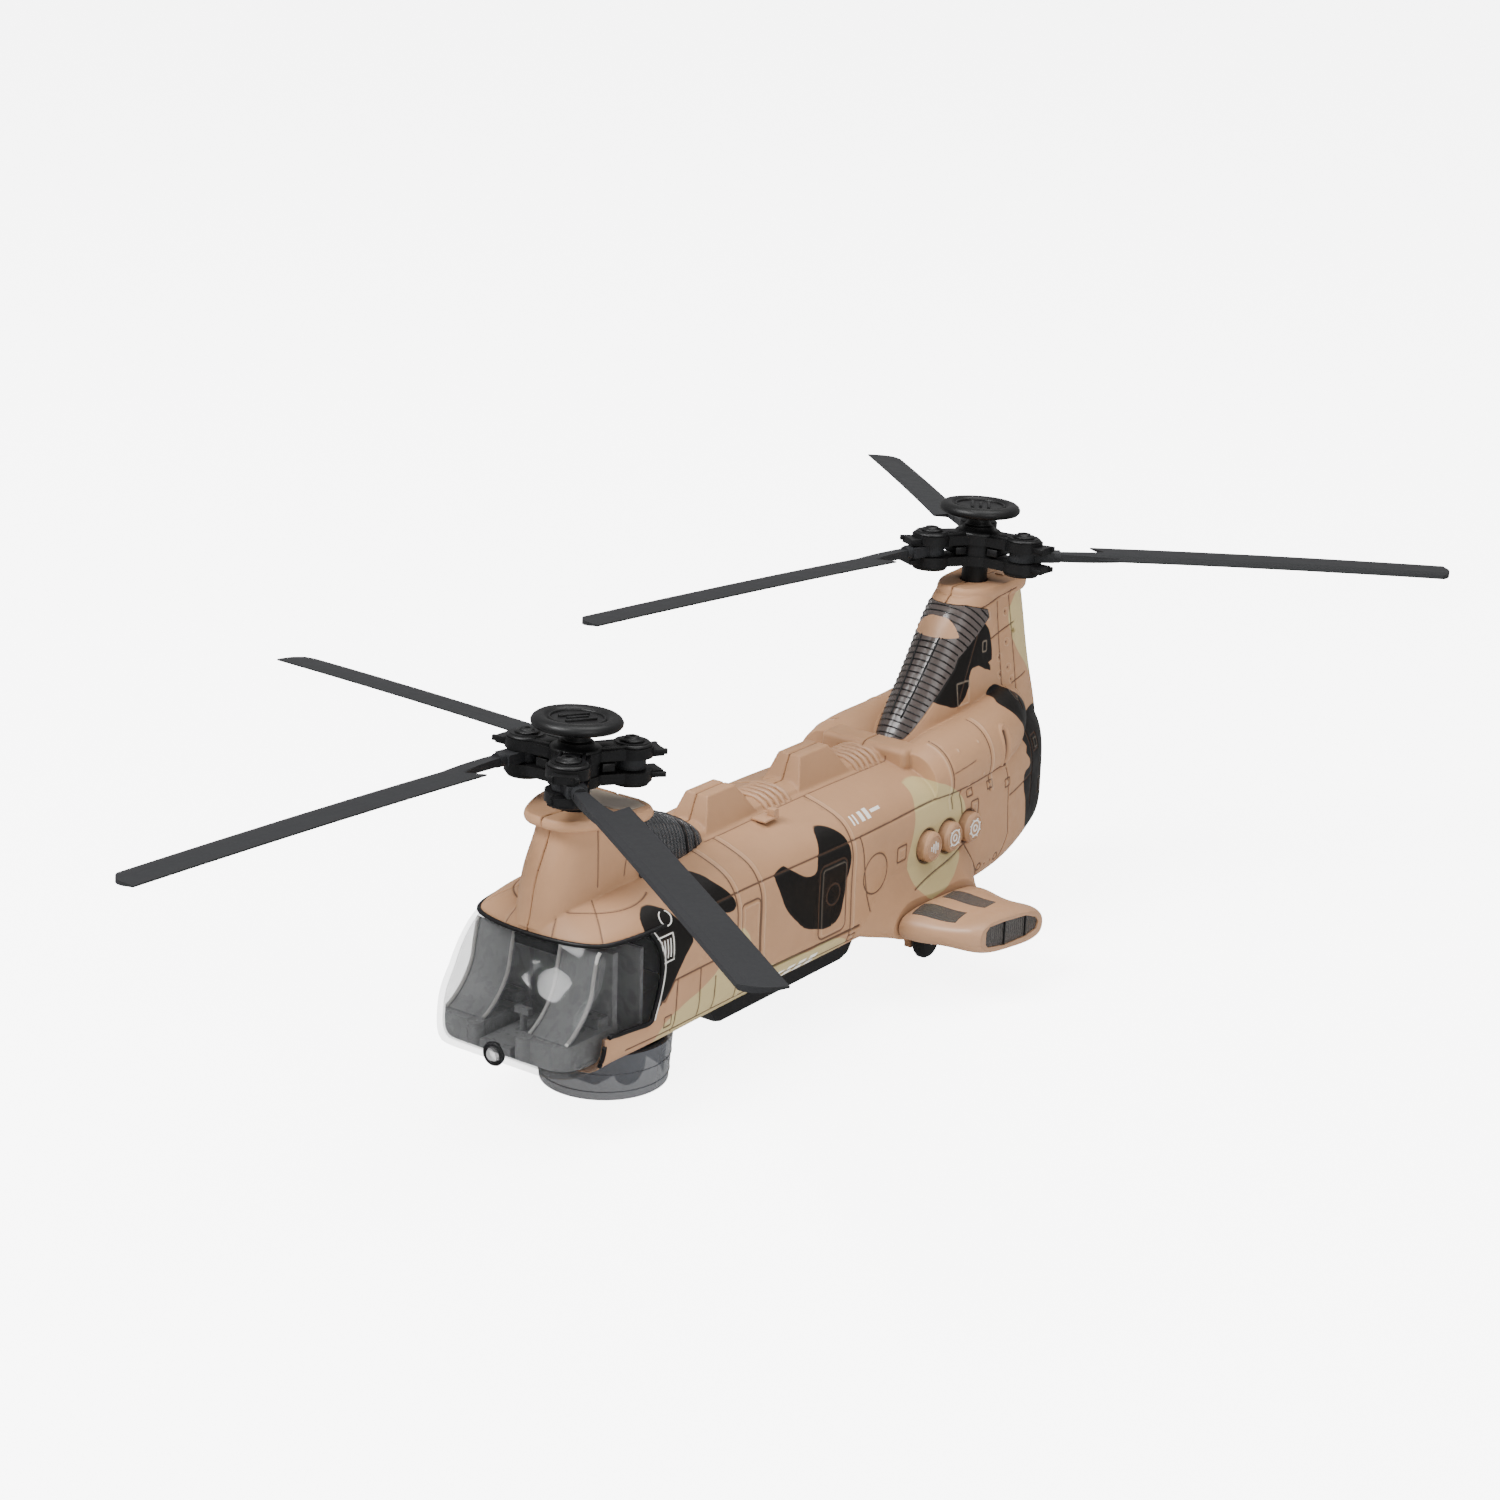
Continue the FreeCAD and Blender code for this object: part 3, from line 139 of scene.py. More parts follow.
def metal(name, colour, rough=0.25):
    item = Nodes(name)
    item.shader.inputs["Metallic"].default_value = 1.0
    tone = item.ramp(item.noise(90.0, 3.0), 0.3, 0.7)
    item.feed(item.shader.inputs["Base Color"],
              item.mix(tone, tuple(c * 0.8 for c in colour) + (1.0,), tuple(colour) + (1.0,)))
    item.feed(item.shader.inputs["Roughness"],
              item.ramp(item.noise(700.0, 4.0), 0.3, 0.7, rough, rough + 0.12))
    item.bump(item.noise(1800.0, 2.0), 0.1, 0.0001)
    return item.material


TAN = (0.352, 0.196, 0.106)
DARK = (0.0045, 0.0034, 0.0028)
KHAKI = (0.410, 0.325, 0.160)
# colour of the painted highlight on raised edges and rims
RIDGE_PAINTED_HIGHLIGHT = (0.75, 0.62, 0.48)
# colour of the painted shade in the engraved lines, pits and rings
GROOVE_PAINTED_SHADE = (0.060, 0.033, 0.020)
BAR_WHITE = (0.78, 0.77, 0.72)
WAVE_TURNS = 0.314  # wave texture scale for one band a metre
# outlines of the camouflage patches seen from the side, in mm: (y, z)
DARK_PATCHES = [
    [(-101, 54), (-99, 63), (-88, 64), (-79, 57), (-73, 48), (-77, 44), (-82, 38), (-88, 30), (-96, 26),
     (-98, 40)],
    [(-72, 69), (-63, 69), (-53, 65), (-45, 57), (-44, 52), (-50, 52), (-59, 57), (-67, 62)],
    [(-10, 59), (-17, 57), (-14, 48), (-9, 40), (1, 30), (16, 25), (26, 27), (30, 38), (34, 51), (32, 60),
     (24, 65), (17, 65), (12, 57), (9, 51), (1, 52)],
    [(129, 91), (143, 83), (151, 84), (156, 90), (158, 97), (164, 98), (174, 93), (174, 109), (165, 118),
     (150, 114), (138, 102)],
    [(167, 82), (176, 87), (188, 78), (198, 66), (197, 61), (188, 56), (181, 68)],
    [(184, 55), (194, 63), (214, 68), (236, 52), (236, 12), (200, 8), (186, 18), (184, 32), (180, 40),
     (180, 47), (187, 48), (188, 51)],
]
KHAKI_PATCHES = [
    [(-94, 8), (-90, 18), (-62, 26), (-50, 34), (-44, 42), (-37, 41), (-34, 34), (-29, 23), (-16, 19),
     (16, 17.5), (26, 17), (34, 14), (32, 10), (-20, 8), (-60, 7)],
    [(88, 66), (98, 66), (112, 60), (121, 52), (122, 40), (116, 28), (104, 21), (90, 17), (80, 23), (78, 36),
     (83, 52)],
    [(195, 126), (205, 124), (212, 84), (201, 92), (191, 104), (188, 116)],
]
# plain white paint bars on the port side, in mm: y, z, half length, half height, lean
WHITE_BARS = [
    (-12, 11.6, 2.4, 2.3, 0.5), (-4.5, 11.8, 2.4, 2.3, 0.5), (3, 12.0, 2.4, 2.3, 0.5),
    (10.5, 12.2, 2.4, 2.3, 0.5), (41.5, 63.4, 0.5, 1.6, 0.0), (44.0, 63.4, 0.5, 1.6, 0.0),
    (48.4, 63.5, 1.2, 1.6, 0.0), (52.6, 63.6, 1.3, 1.7, 0.0),
    (59.0, 63.8, 3.4, 0.5, 0.0),
]


FAR_SIDE_SHIFT = 14.0
DISTANCE_CAP = 12.0


def edge_distance(y, z, outline):
    """Distance in mm to a closed outline, below zero inside it."""
    nearest = np.full(len(y), 1e6)
    inside = np.zeros(len(y), bool)
    for (ay, az), (by, bz) in zip(outline, outline[1:] + outline[:1]):
        nearest = np.minimum(nearest, segment(y, z, (ay, az), (by, bz)))
        crossing = (az > z) != (bz > z)
        if az != bz:
            inside ^= crossing & (y < ay + (z - az) * (by - ay) / (bz - az))
    return np.where(inside, -nearest, nearest)


def patch_distance(points, table):
    """Distance in mm to the nearest of several rounded patches, which sit further back on the far side."""
    x, y, z = points.T
    y = y - np.where(x > 0, 0.0, FAR_SIDE_SHIFT)
    nearest = np.full(len(y), 30.0)
    for outline in table:
        rounded = [tuple(point) for point in smoothed(outline + outline[:1], 4)[:-1]]
        nearest = np.minimum(nearest, edge_distance(y, z, rounded))
    return np.clip(nearest, -DISTANCE_CAP, DISTANCE_CAP)


def camouflage(name):
    """Tan plastic with sprayed dark and khaki patches and a few plain white bars, with painted shade in the
    engraved lines and a painted highlight on the raised edges.
    """
    item = Nodes(name)
    split = item.new("ShaderNodeSeparateXYZ")
    item.feed(split.inputs[0], item.place)
    x = item.math("MULTIPLY", split.outputs[0], 1000.0)
    up = item.math("MULTIPLY", split.outputs[2], 1000.0)
    port = item.math("GREATER_THAN", x, 0.0)
    across = item.math("MULTIPLY", split.outputs[1], 1000.0)
    wobble = item.ramp(item.noise(60.0, 1.0), 0.2, 0.8, -0.7, 0.7)
    shares = []
    for kind in ("dark", "khaki"):
        distance = item.new("ShaderNodeAttribute", attribute_name=kind).outputs["Fac"]
        shares.append(item.ramp(item.math("ADD", distance, wobble), 0.25, -0.25))
    dark, khaki = shares
    broad = item.ramp(item.noise(30.0, 4.0, 0.6), 0.25, 0.75)
    base = item.mix(broad, tuple(c * 0.95 for c in TAN) + (1.0,), tuple(c * 1.05 for c in TAN) + (1.0,))
    colour = item.mix(khaki, base, KHAKI + (1.0,))
    colour = item.mix(dark, colour, DARK + (1.0,))
    white = None
    for place, height, long, tall, lean in WHITE_BARS:
        rise = item.math("SUBTRACT", up, height)
        along = item.math("SUBTRACT", item.math("SUBTRACT", across, place),
                          item.math("MULTIPLY", rise, lean))
        reach = item.math("MAXIMUM", item.math("DIVIDE", item.math("ABSOLUTE", along), long),
                          item.math("DIVIDE", item.math("ABSOLUTE", rise), tall))
        white = reach if white is None else item.math("MINIMUM", white, reach)
    share = item.math("MULTIPLY", item.ramp(white, 1.04, 0.98, 0.0, 0.85), port)
    colour = item.mix(share, colour, BAR_WHITE + (1.0,))
    # painted shade: the engraved lines, pits and button rings are darkened in colour as well as cut into the
    # shape
    lines = item.new("ShaderNodeAttribute", attribute_name="line").outputs["Fac"]
    colour = item.mix(item.ramp(lines, 0.10, 0.75, 0.0, 0.82), colour, GROOVE_PAINTED_SHADE + (1.0,))
    # painted highlight: raised edges and rims are lightened in colour towards a pale tan
    ridge_highlight_share = item.new("ShaderNodeAttribute", attribute_name="ridge").outputs["Fac"]
    pale = item.mix(0.16, colour, RIDGE_PAINTED_HIGHLIGHT + (1.0,))
    colour = item.mix(item.ramp(ridge_highlight_share, 0.2, 0.8), colour, pale)
    item.feed(item.shader.inputs["Base Color"], colour)
    item.shader.inputs["Specular IOR Level"].default_value = 0.22
    gloss = item.ramp(item.noise(150.0, 4.0, 0.6), 0.25, 0.75, 0.42, 0.54)
    item.feed(item.shader.inputs["Roughness"], gloss)
    item.bump(item.noise(2600.0, 2.0), 0.10, 0.00012)
    return item.material


def ribbed(name, colour, alpha, pitch):
    """Smoked lens moulding with fine upright flutes, pitch mm apart."""
    item = clear_nodes(name, colour, alpha, 0.14, 0.0, 0.35)
    wave = item.new("ShaderNodeTexWave", bands_direction="Y")
    item.feed(wave.inputs["Vector"], item.place)
    wave.inputs["Scale"].default_value = WAVE_TURNS / (pitch * MM)
    item.bump(wave.outputs["Fac"], 0.5, 0.0004)
    return item.material


camo = camouflage("camo_plastic")
tan = plastic("tan_plastic", TAN, 0.45)
hatch_tan = plastic("hatch_tan", (0.30, 0.235, 0.175), 0.35)
black = plastic("black_plastic", (0.0050, 0.0050, 0.0054), 0.42, 0.15, 0.2, shine=0.26)
gloss_black = plastic("gloss_black", (0.004, 0.004, 0.0043), 0.20, 0.15, 0.05, shine=0.35)
blade_black = plastic("blade_black", (0.0160, 0.0165, 0.0180), 0.50, 0.03, 0.15, shine=0.22)
rubber = plastic("tyre_rubber", (0.010, 0.010, 0.010), 0.62, 0.15, 0.4, 1500.0, 0.3)
silver = plastic("silver_plastic", (0.34, 0.345, 0.35), 0.28, 0.05, 0.1)
smoke = clear("smoke_clear", (0.024, 0.025, 0.026), 0.32, 0.04, 0.03, 0.5)
brown_smoke = clear("smoke_brown", (0.085, 0.070, 0.064), 0.88, 0.16, 0.02, 0.4)
grey_smoke = clear("smoke_grey", (0.055, 0.057, 0.060), 0.85, 0.16, 0.03, 0.45)
ring_clear = clear("ring_blue_grey", (0.088, 0.094, 0.106), 0.86, 0.20, 0.03)
lens_clear = clear("lamp_lens", (0.5, 0.5, 0.5), 0.55)
lens_smoke = ribbed("lens_smoke", (0.065, 0.060, 0.056), 0.93, 1.6)
white = plastic("white_paint", (0.70, 0.69, 0.66), 0.5, 0.03)
steel = metal("steel", (0.62, 0.62, 0.63))
natural = plastic("natural_plastic", (0.78, 0.77, 0.72), 0.4)
green = plastic("board_green", (0.02, 0.14, 0.05), 0.35)
sleeve = plastic("cell_sleeve", (0.20, 0.25, 0.32), 0.3)


# ---------------------------------------------------------------- mesh helpers
def finish_piece(obj, body, material, replaces=()):
    """Give a new piece its material and body, and hide the nodes it replaces."""
    if material:
        obj.data.materials.clear()
        obj.data.materials.append(material)
    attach(obj, body)
    if replaces:
        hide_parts(*replaces)
    return obj


def piece(name, mesh, body, material, replaces=()):
    obj = bpy.data.objects.new(name, mesh)
    bpy.context.scene.collection.objects.link(obj)
    return finish_piece(obj, body, material, replaces)


RELIEF_VOXEL = 0.5
RELIEF_FACES = 240000


def applied(obj):
    """The mesh of an object with its modifiers applied."""
    graph = bpy.context.evaluated_depsgraph_get()
    return bpy.data.meshes.new_from_object(obj.evaluated_get(graph))


def relief(name, node, body, material, shape):
    """A finely divided copy of a CAD node, with shape(points, normals) mm of relief on it."""
    obj = bpy.data.objects.new(name, NODES[node].data.copy())
    bpy.context.scene.collection.objects.link(obj)
    grid = obj.modifiers.new("grid", "REMESH")
    grid.mode = "VOXEL"
    grid.voxel_size = RELIEF_VOXEL * MM
    soften = obj.modifiers.new("soften", "SMOOTH")
    soften.factor = 0.5
    soften.iterations = 1
    obj.data = applied(obj)
    obj.modifiers.clear()
    mesh = obj.data
    count = len(mesh.vertices)
    points = np.empty(count * 3)
    normals = np.empty(count * 3)
    mesh.vertices.foreach_get("co", points)
    mesh.vertex_normals.foreach_get("vector", normals)
    points = points.reshape(-1, 3)
    normals = normals.reshape(-1, 3)
    points += normals * (shape(points / MM, normals)[0] * MM)[:, None]
    mesh.vertices.foreach_set("co", points.ravel())
    mesh.update()
    total = len(mesh.polygons) * 2
    if total > RELIEF_FACES:
        thin = obj.modifiers.new("thin", "DECIMATE")
        thin.ratio = RELIEF_FACES / total
        obj.data = applied(obj)
        obj.modifiers.clear()
    obj.data.shade_smooth()
    mark(obj.data, shape)
    return finish_piece(obj, body, material, (node,))


def mark(mesh, shape):
    """Store the lines (darkened in the paint as painted shade), the ridges (lightened in the paint as a
    painted highlight) and the distances to the patches, for the paint to follow.
    """
    count = len(mesh.vertices)
    points = np.empty(count * 3)
    normals = np.empty(count * 3)
    mesh.vertices.foreach_get("co", points)
    mesh.vertex_normals.foreach_get("vector", normals)
    points = points.reshape(-1, 3) / MM
    _, line, ridge = shape(points, normals.reshape(-1, 3))
    values = {"line": np.clip(line, 0.0, 1.0), "ridge": np.clip(ridge, 0.0, 1.0),
              "dark": patch_distance(points, DARK_PATCHES), "khaki": patch_distance(points, KHAKI_PATCHES)}
    for name, row in values.items():
        layer = mesh.attributes.new(name, "FLOAT", "POINT")
        layer.data.foreach_set("value", row)


def bevel(node, width=0.3, angle=32.0, segments=2, material=None):
    """Round the hard edges of a CAD node and give it a material."""
    obj = NODES[node]
    edge = obj.modifiers.new("edge", "BEVEL")
    edge.width = width * MM
    edge.segments = segments
    edge.limit_method = "ANGLE"
    edge.angle_limit = math.radians(angle)
    edge.harden_normals = False
    edge.use_clamp_overlap = True
    if material:
        paint(obj, material)
    return obj


def paint(obj, material):
    for index in range(max(1, len(obj.material_slots))):
        if index < len(obj.material_slots):
            obj.material_slots[index].material = material
        else:
            obj.data.materials.append(material)


def groove(distance, width):
    """1 at the middle of a line, falling smoothly to 0 at half the width."""
    share = np.clip(1.0 - distance / (width / 2), 0.0, 1.0)
    return share * share * (3 - 2 * share)


def segment(y, z, start, end):
    ay, az = start
    by, bz = end
    length = (by - ay) ** 2 + (bz - az) ** 2
    t = np.clip(((y - ay) * (by - ay) + (z - az) * (bz - az)) / length, 0, 1)
    return np.hypot(y - ay - t * (by - ay), z - az - t * (bz - az))


def smoothed(points, cuts=6):
    """Points along a smooth line through the given ones."""
    fine = []
    for index in range(len(points) - 1):
        before = Vector(points[max(index - 1, 0)])
        start = Vector(points[index])
        end = Vector(points[index + 1])
        after = Vector(points[min(index + 2, len(points) - 1)])
        for cut in range(cuts):
            t = cut / cuts
            bend = 2 * before - 5 * start + 4 * end - after
            twist = 3 * start - before - 3 * end + after
            fine.append(0.5 * (2 * start + (end - before) * t + bend * t * t + twist * t ** 3))
    return fine + [Vector(points[-1])]


def panel(y, z, place, half, corner):
    """Signed distance to a rounded rectangle."""
    dy = np.abs(y - place[0]) - half[0] + corner
    dz = np.abs(z - place[1]) - half[1] + corner
    return np.hypot(np.maximum(dy, 0), np.maximum(dz, 0)) + np.minimum(np.maximum(dy, dz), 0) - corner


# panel lines on the flanks, in mm: (y, z) to (y, z)
FLANK_LINES = [
    ((-74, 57), (160, 57.5)), ((-112, 13.5), (-50, 12.6)), ((-50, 12.6), (42, 11.6)),
    ((118, 57), (122, 32)), ((122, 32), (137, 12)), ((78, 24), (122, 31)),
    ((-84, 12), (-82, 34)), ((-68, 13), (-67, 34)), ((-84, 34), (-50, 34)), ((-58, 13), (-57, 27)),
    ((160, 57), (163, 24)), ((163, 24), (150, 8)), ((163, 42), (190, 44)), ((190, 30), (192, 66)),
    ((42, 57), (47, 30)), ((47, 30), (50, 22)), ((-104, 30), (-90, 27)), ((-90, 27), (-84, 34)),
]
DEEP_LINES = [((-24, 18.5), (43, 17.6))]
# outlined panels: (y, z), (half length, half height), corner radius
FLANK_PANELS = [
    ((-34, 36), (6.2, 15.5), 2.2), ((73, 41), (3.4, 3.4), 0.4), ((130, 43), (3.0, 6.4), 0.8),
    ((22, 36), (9.5, 16), 3.4), ((143, 53), (2.2, 1.7), 0.3), ((126, 54), (2.2, 1.7), 0.3),
    ((160, 49), (2.4, 1.8), 0.3), ((-88, 18), (2.2, 2.2), 0.3), ((38, 13.6), (2.4, 1.5), 0.3),
    ((198, 56), (3.2, 3.4), 0.4), ((204, 34), (2.2, 3.6), 0.4),
]
FLANK_RINGS = [((53, 38), 8.8), ((22, 38), 4.6), ((137, 16), 1.7), ((152, 16.5), 1.7)]
FLANK_PITS = [((142, 16), 0.8), ((147, 16.2), 0.8), ((204, 44), 1.0), ((212, 52), 1.0)]
PYLON_PITS = [(185.5, 118), (186, 104), (187, 92), (180.5, 98), (181, 90), (181.5, 82), (189.5, 86)]
HOOPS = (-43.0, -27.0, 35.5)
GRILLE = (-90.6, 49.2)


def shell_relief(points, normals):
    """Panel lines, doors, vents and ribs of the fuselage halves: height, line and ridge shares."""
    x, y, z = points.T
    nx, _, nz = normals.T
    side = np.sign(x)
    outward = nx * side
    line = np.zeros(len(x))
    ridge = np.zeros(len(x))
    sunk = np.zeros(len(x))
    fuselage = (z < 72.3) & (y > -146)
    flank = (outward > 0.2) & (np.abs(x) > 15) & fuselage

    def engrave(where, share):
        np.maximum(line, np.where(where, share, 0.0), out=line)

    def raise_edge(where, share):
        np.maximum(ridge, np.where(where, share, 0.0), out=ridge)

    for start, end in FLANK_LINES:
        engrave(flank, groove(segment(y, z, start, end), 1.5))
    for place, half, corner in FLANK_PANELS:
        edge = panel(y, z, place, half, corner)
        engrave(flank, groove(np.abs(edge), 1.4))
        raise_edge(flank, 0.6 * groove(np.abs(edge + 1.5), 1.6))
    for place, radius in FLANK_RINGS:
        engrave(flank, groove(np.abs(np.hypot(y - place[0], z - place[1]) - radius), 1.4))
    for place, radius in FLANK_PITS:
        engrave(flank, groove(np.hypot(y - place[0], z - place[1]), radius * 2.6))
    # ring round each button: an engraved groove, also darkened as painted shade through the line share
    for place in (92.5, 108.5, 124.5):
        engrave(flank, groove(np.abs(np.hypot(y - place, z - 39.0) - 7.4), 2.2))
    for start, end in DEEP_LINES:
        share = groove(segment(y, z, start, end), 2.2)
        engrave(flank, share)
        sunk += np.where(flank, 0.6 * share, 0.0)
    door = panel(y, z, (22, 36), (8.6, 15.1), 3.0)
    ridge_height = np.where(flank, 0.35 * np.clip(-door / 1.2, 0, 1), 0.0)
    # hoops run right over the roof
    skin = ((outward > 0.2) | (nz > 0.25)) & (z > 12) & (z < 72.6) & (np.abs(x) > 11.8)
    for place in HOOPS:
        engrave(skin, groove(np.abs(y - place), 1.5))
        raise_edge(skin, 0.7 * groove(np.abs(y - place - 2.0), 2.0))
    # seam between the halves, and the crease along the foot of the spine
    seam = (np.abs(x) < 2.0) & (nz > 0.3) & (z > 56)
    engrave(seam, 0.8 * groove(np.abs(x), 1.3))
    foot = (z > 69.0) & (z < 73.0) & (y > -33) & (y < 97)
    engrave(foot, 0.7 * groove(np.abs(np.abs(x) - 12.1), 1.5))
    # vent grille with upright slots in a raised frame
    edge = panel(y, z, GRILLE, (4.6, 5.4), 0.6)
    raise_edge(flank, groove(np.abs(edge), 1.5))
    for index in range(4):
        slot = panel(y, z, (GRILLE[0] - 2.7 + 1.8 * index, GRILLE[1]), (0.35, 3.8), 0.3)
        engrave(flank, np.clip(0.7 - slot, 0, 1))
    # the nose deck and the foot of the front pylon
    deck = (nz > 0.3) & (y < -84) & (z > 56) & (z < 73)
    engrave(deck, 0.8 * groove(np.abs(np.hypot(x, y + 96) - 26.0), 1.5))
    for turn in (-52.0, -20.0, 20.0, 52.0):
        ray_x = np.sin(np.radians(turn))
        ray_y = -np.cos(np.radians(turn))
        aside = np.abs(x * ray_y - (y + 96) * ray_x)
        ahead = (x * ray_x + (y + 96) * ray_y) > 18.0
        engrave(deck & ahead, 0.7 * groove(aside, 1.4))
    column = (z > 72.5) & (z < 98.5) & (y < -70) & (outward > 0.2)
    edges = np.minimum(segment(y, z, (-88, 73), (-86, 95)), segment(y, z, (-86, 92), (-70, 84)))
    edges = np.minimum(edges, segment(y, z, (-104, 73), (-103, 97)))
    engrave(column, 0.8 * groove(edges, 1.4))
    # rear pylon
    pylon = (z > 74) & (y > 128) & (outward > 0.25) & (np.abs(x) > 5)
    lines = np.minimum(segment(y, z, (183, 76), (179, 124)), segment(y, z, (194, 78), (188, 128)))
    lines = np.minimum(lines, segment(y, z, (150, 86), (168, 122)))
    lines = np.minimum(lines, segment(y, z, (174, 108), (192, 112)))
    lines = np.minimum(lines, segment(y, z, (160, 122), (192, 128)))
    lines = np.minimum(lines, segment(y, z, (190, 84), (203, 86)))
    engrave(pylon, groove(lines, 1.3))
    for place, half in (((152, 88), (4.2, 5.0)), ((168, 106), (1.6, 2.4)), ((171, 119), (1.4, 1.6))):
        edge = np.abs(panel(y, z, place, half, 0.5))
        raise_edge(pylon, groove(edge, 1.5))
    for place in PYLON_PITS:
        engrave(pylon, groove(np.hypot(y - place[0], z - place[1]), 2.0))
        raise_edge(pylon, 0.6 * groove(np.abs(np.hypot(y - place[0], z - place[1]) - 1.9), 1.3))
    # nacelles: hoops, the upright slot and small bosses
    pod = (outward > 0.1) & (np.abs(x) > 20) & (y > 100) & (z > 50) & (z < 84)
    engrave(pod, groove(np.minimum(np.abs(y - 112.0), np.abs(y - 143.0)), 1.4))
    raise_edge(pod, 0.8 * groove(np.minimum(np.abs(y - 109.6), np.abs(y - 145.2)), 2.2))
    engrave(pod, 0.7 * groove(segment(y, z, (113, 66), (130, 67.5)), 1.3))
    slot = panel(y, z, (158, 66), (1.5, 7.5), 1.5)
    pod_slot = (outward > 0.1) & (np.abs(x) > 14) & (y > 150) & (z > 50) & (z < 84)
    ridge_height += np.where(pod_slot, 0.8 * groove(np.abs(slot - 1.6), 3.0), 0.0)
    inside = np.clip(0.4 - slot, 0, 1)
    engrave(pod_slot, inside)
    sunk += np.where(pod_slot, 1.3 * inside, 0.0)
    for place in ((120, 74), (136, 74), (124, 58), (136, 60)):
        raise_edge(pod, groove(np.hypot(y - place[0], z - place[1]), 2.6))
    depth = 0.4 * ridge + ridge_height - 0.55 * line - sunk
    return depth, line, ridge


for side in ("port", "starboard"):
    relief("shell_" + side, "fuselage_shell_" + side, "fuselage", camo, shell_relief)


def placed(mesh, matrix):
    mesh.transform(matrix)
    return mesh


def lathe(name, profile, steps=96):
    """A turned mesh about Z from (radius, height) points in mm."""
    build = bmesh.new()
    rings = []
    for radius, height in profile:
        if radius < 1e-6:
            rings.append([build.verts.new((0, 0, height * MM))])
            continue
        rings.append([build.verts.new((radius * MM * math.cos(2 * math.pi * i / steps),
                                       radius * MM * math.sin(2 * math.pi * i / steps), height * MM))
                      for i in range(steps)])
    for low, high in zip(rings, rings[1:]):
        for i in range(steps):
            j = (i + 1) % steps
            if len(low) == 1 and len(high) == 1:
                continue
            if len(low) == 1:
                build.faces.new((low[0], high[j], high[i]))
            elif len(high) == 1:
                build.faces.new((low[i], low[j], high[0]))
            else:
                build.faces.new((low[i], low[j], high[j], high[i]))
    bmesh.ops.recalc_face_normals(build, faces=build.faces)
    mesh = bpy.data.meshes.new(name)
    build.to_mesh(mesh)
    build.free()
    mesh.shade_smooth()
    return mesh


def block(name, length, width, height, at=(0, 0, 0), turn=0.0, edge=0.2, taper=1.0):
    """A small rounded box centred at `at` (mm), turned about Z."""
    build = bmesh.new()
    bmesh.ops.create_cube(build, size=1.0)
    for vert in build.verts:
        grow = taper if vert.co.z > 0 else 1.0
        vert.co = Vector((vert.co.x * length * grow, vert.co.y * width * grow, vert.co.z * height))
    if edge:
        bmesh.ops.bevel(build, geom=build.edges[:], offset=edge, segments=2, profile=0.5,
                        affect="EDGES")
    mesh = bpy.data.meshes.new(name)
    build.to_mesh(mesh)
    build.free()
    mesh.transform(Matrix.Translation(Vector(at)) @ Matrix.Rotation(math.radians(turn), 4, "Z"))
    mesh.transform(Matrix.Scale(MM, 4))
    mesh.shade_smooth()
    mesh.set_sharp_from_angle(angle=math.radians(40))
    return mesh


# turns a piece made along +Z to face the nose
FORWARD = Matrix.Rotation(math.radians(90), 4, "X")


def joined(name, meshes):
    """Several meshes as one."""
    build = bmesh.new()
    for mesh in meshes:
        build.from_mesh(mesh)
    whole = bpy.data.meshes.new(name)
    build.to_mesh(whole)
    build.free()
    return whole


def tube(name, points, radius, steps=8):
    """A round bead along points in mm."""
    build = bmesh.new()
    rings = []
    points = [Vector(p) for p in points]
    for index, point in enumerate(points):
        ahead = points[min(index + 1, len(points) - 1)] - points[max(index - 1, 0)]
        ahead.normalize()
        side = ahead.cross(Vector((0.3, 0.2, 1.0))).normalized()
        up = side.cross(ahead)
        rings.append([build.verts.new((point + (side * math.cos(2 * math.pi * i / steps)
                                                + up * math.sin(2 * math.pi * i / steps)) * radius) * MM)
                      for i in range(steps)])
    for low, high in zip(rings, rings[1:]):
        for i in range(steps):
            j = (i + 1) % steps
            build.faces.new((low[i], low[j], high[j], high[i]))
    build.faces.new(rings[0][::-1])
    build.faces.new(rings[-1])
    bmesh.ops.recalc_face_normals(build, faces=build.faces)
    mesh = bpy.data.meshes.new(name)
    build.to_mesh(mesh)
    build.free()
    mesh.shade_smooth()
    return mesh


# ---------------------------------------------------------------- trim laid on the skin
def skin(*names):
    """A search tree over the CAD meshes of the named nodes."""
    points = []
    faces = []
    for name in names:
        mesh = NODES[name].data
        start = len(points)
        points += [vert.co.copy() for vert in mesh.vertices]
        faces += [[start + index for index in poly.vertices] for poly in mesh.polygons]
    return BVHTree.FromPolygons(points, faces)


def touch(tree, start, way, lift=0.0, reach=60.0):
    """Where a ray from start (mm) first meets the skin, lifted off it; None if it misses."""
    way = Vector(way).normalized()
    spot, _, _, _ = tree.ray_cast(Vector(start) * MM, way, reach * MM)
    if spot is None:
        return None
    return spot / MM - way * lift


def beads(name, runs, radius, steps=6):
    """Tubes through runs of points, broken wherever a point is missing."""
    meshes = []
    for run in runs:
        stretch = []
        for point in list(run) + [None]:
            if point is not None and (not stretch or (point - stretch[-1]).length < 9.0):
                stretch.append(point)
                continue
            if len(stretch) > 2:
                meshes.append(tube(name, stretch, radius, steps))
            stretch = [point] if point is not None else []
    return joined(name, meshes)


def hoop(tree, centre, rise, half_turn, lift, keep_off=None, count=44, reach=40.0):
    """Points round the outside of the skin, in the plane of X and `rise` through centre.

    Where the ray meets keep_off, the point is left out.
    """
    centre = Vector(centre)
    rise = Vector(rise).normalized()
    points = []
    for index in range(count + 1):
        angle = math.radians(half_turn * (2.0 * index / count - 1.0))
        out = Vector((math.sin(angle), 0, 0)) + rise * math.cos(angle)
        start = centre + out * reach
        if keep_off and touch(keep_off, start, -out, lift, reach):
            points.append(None)
        else:
            points.append(touch(tree, start, -out, lift, reach))
    return points


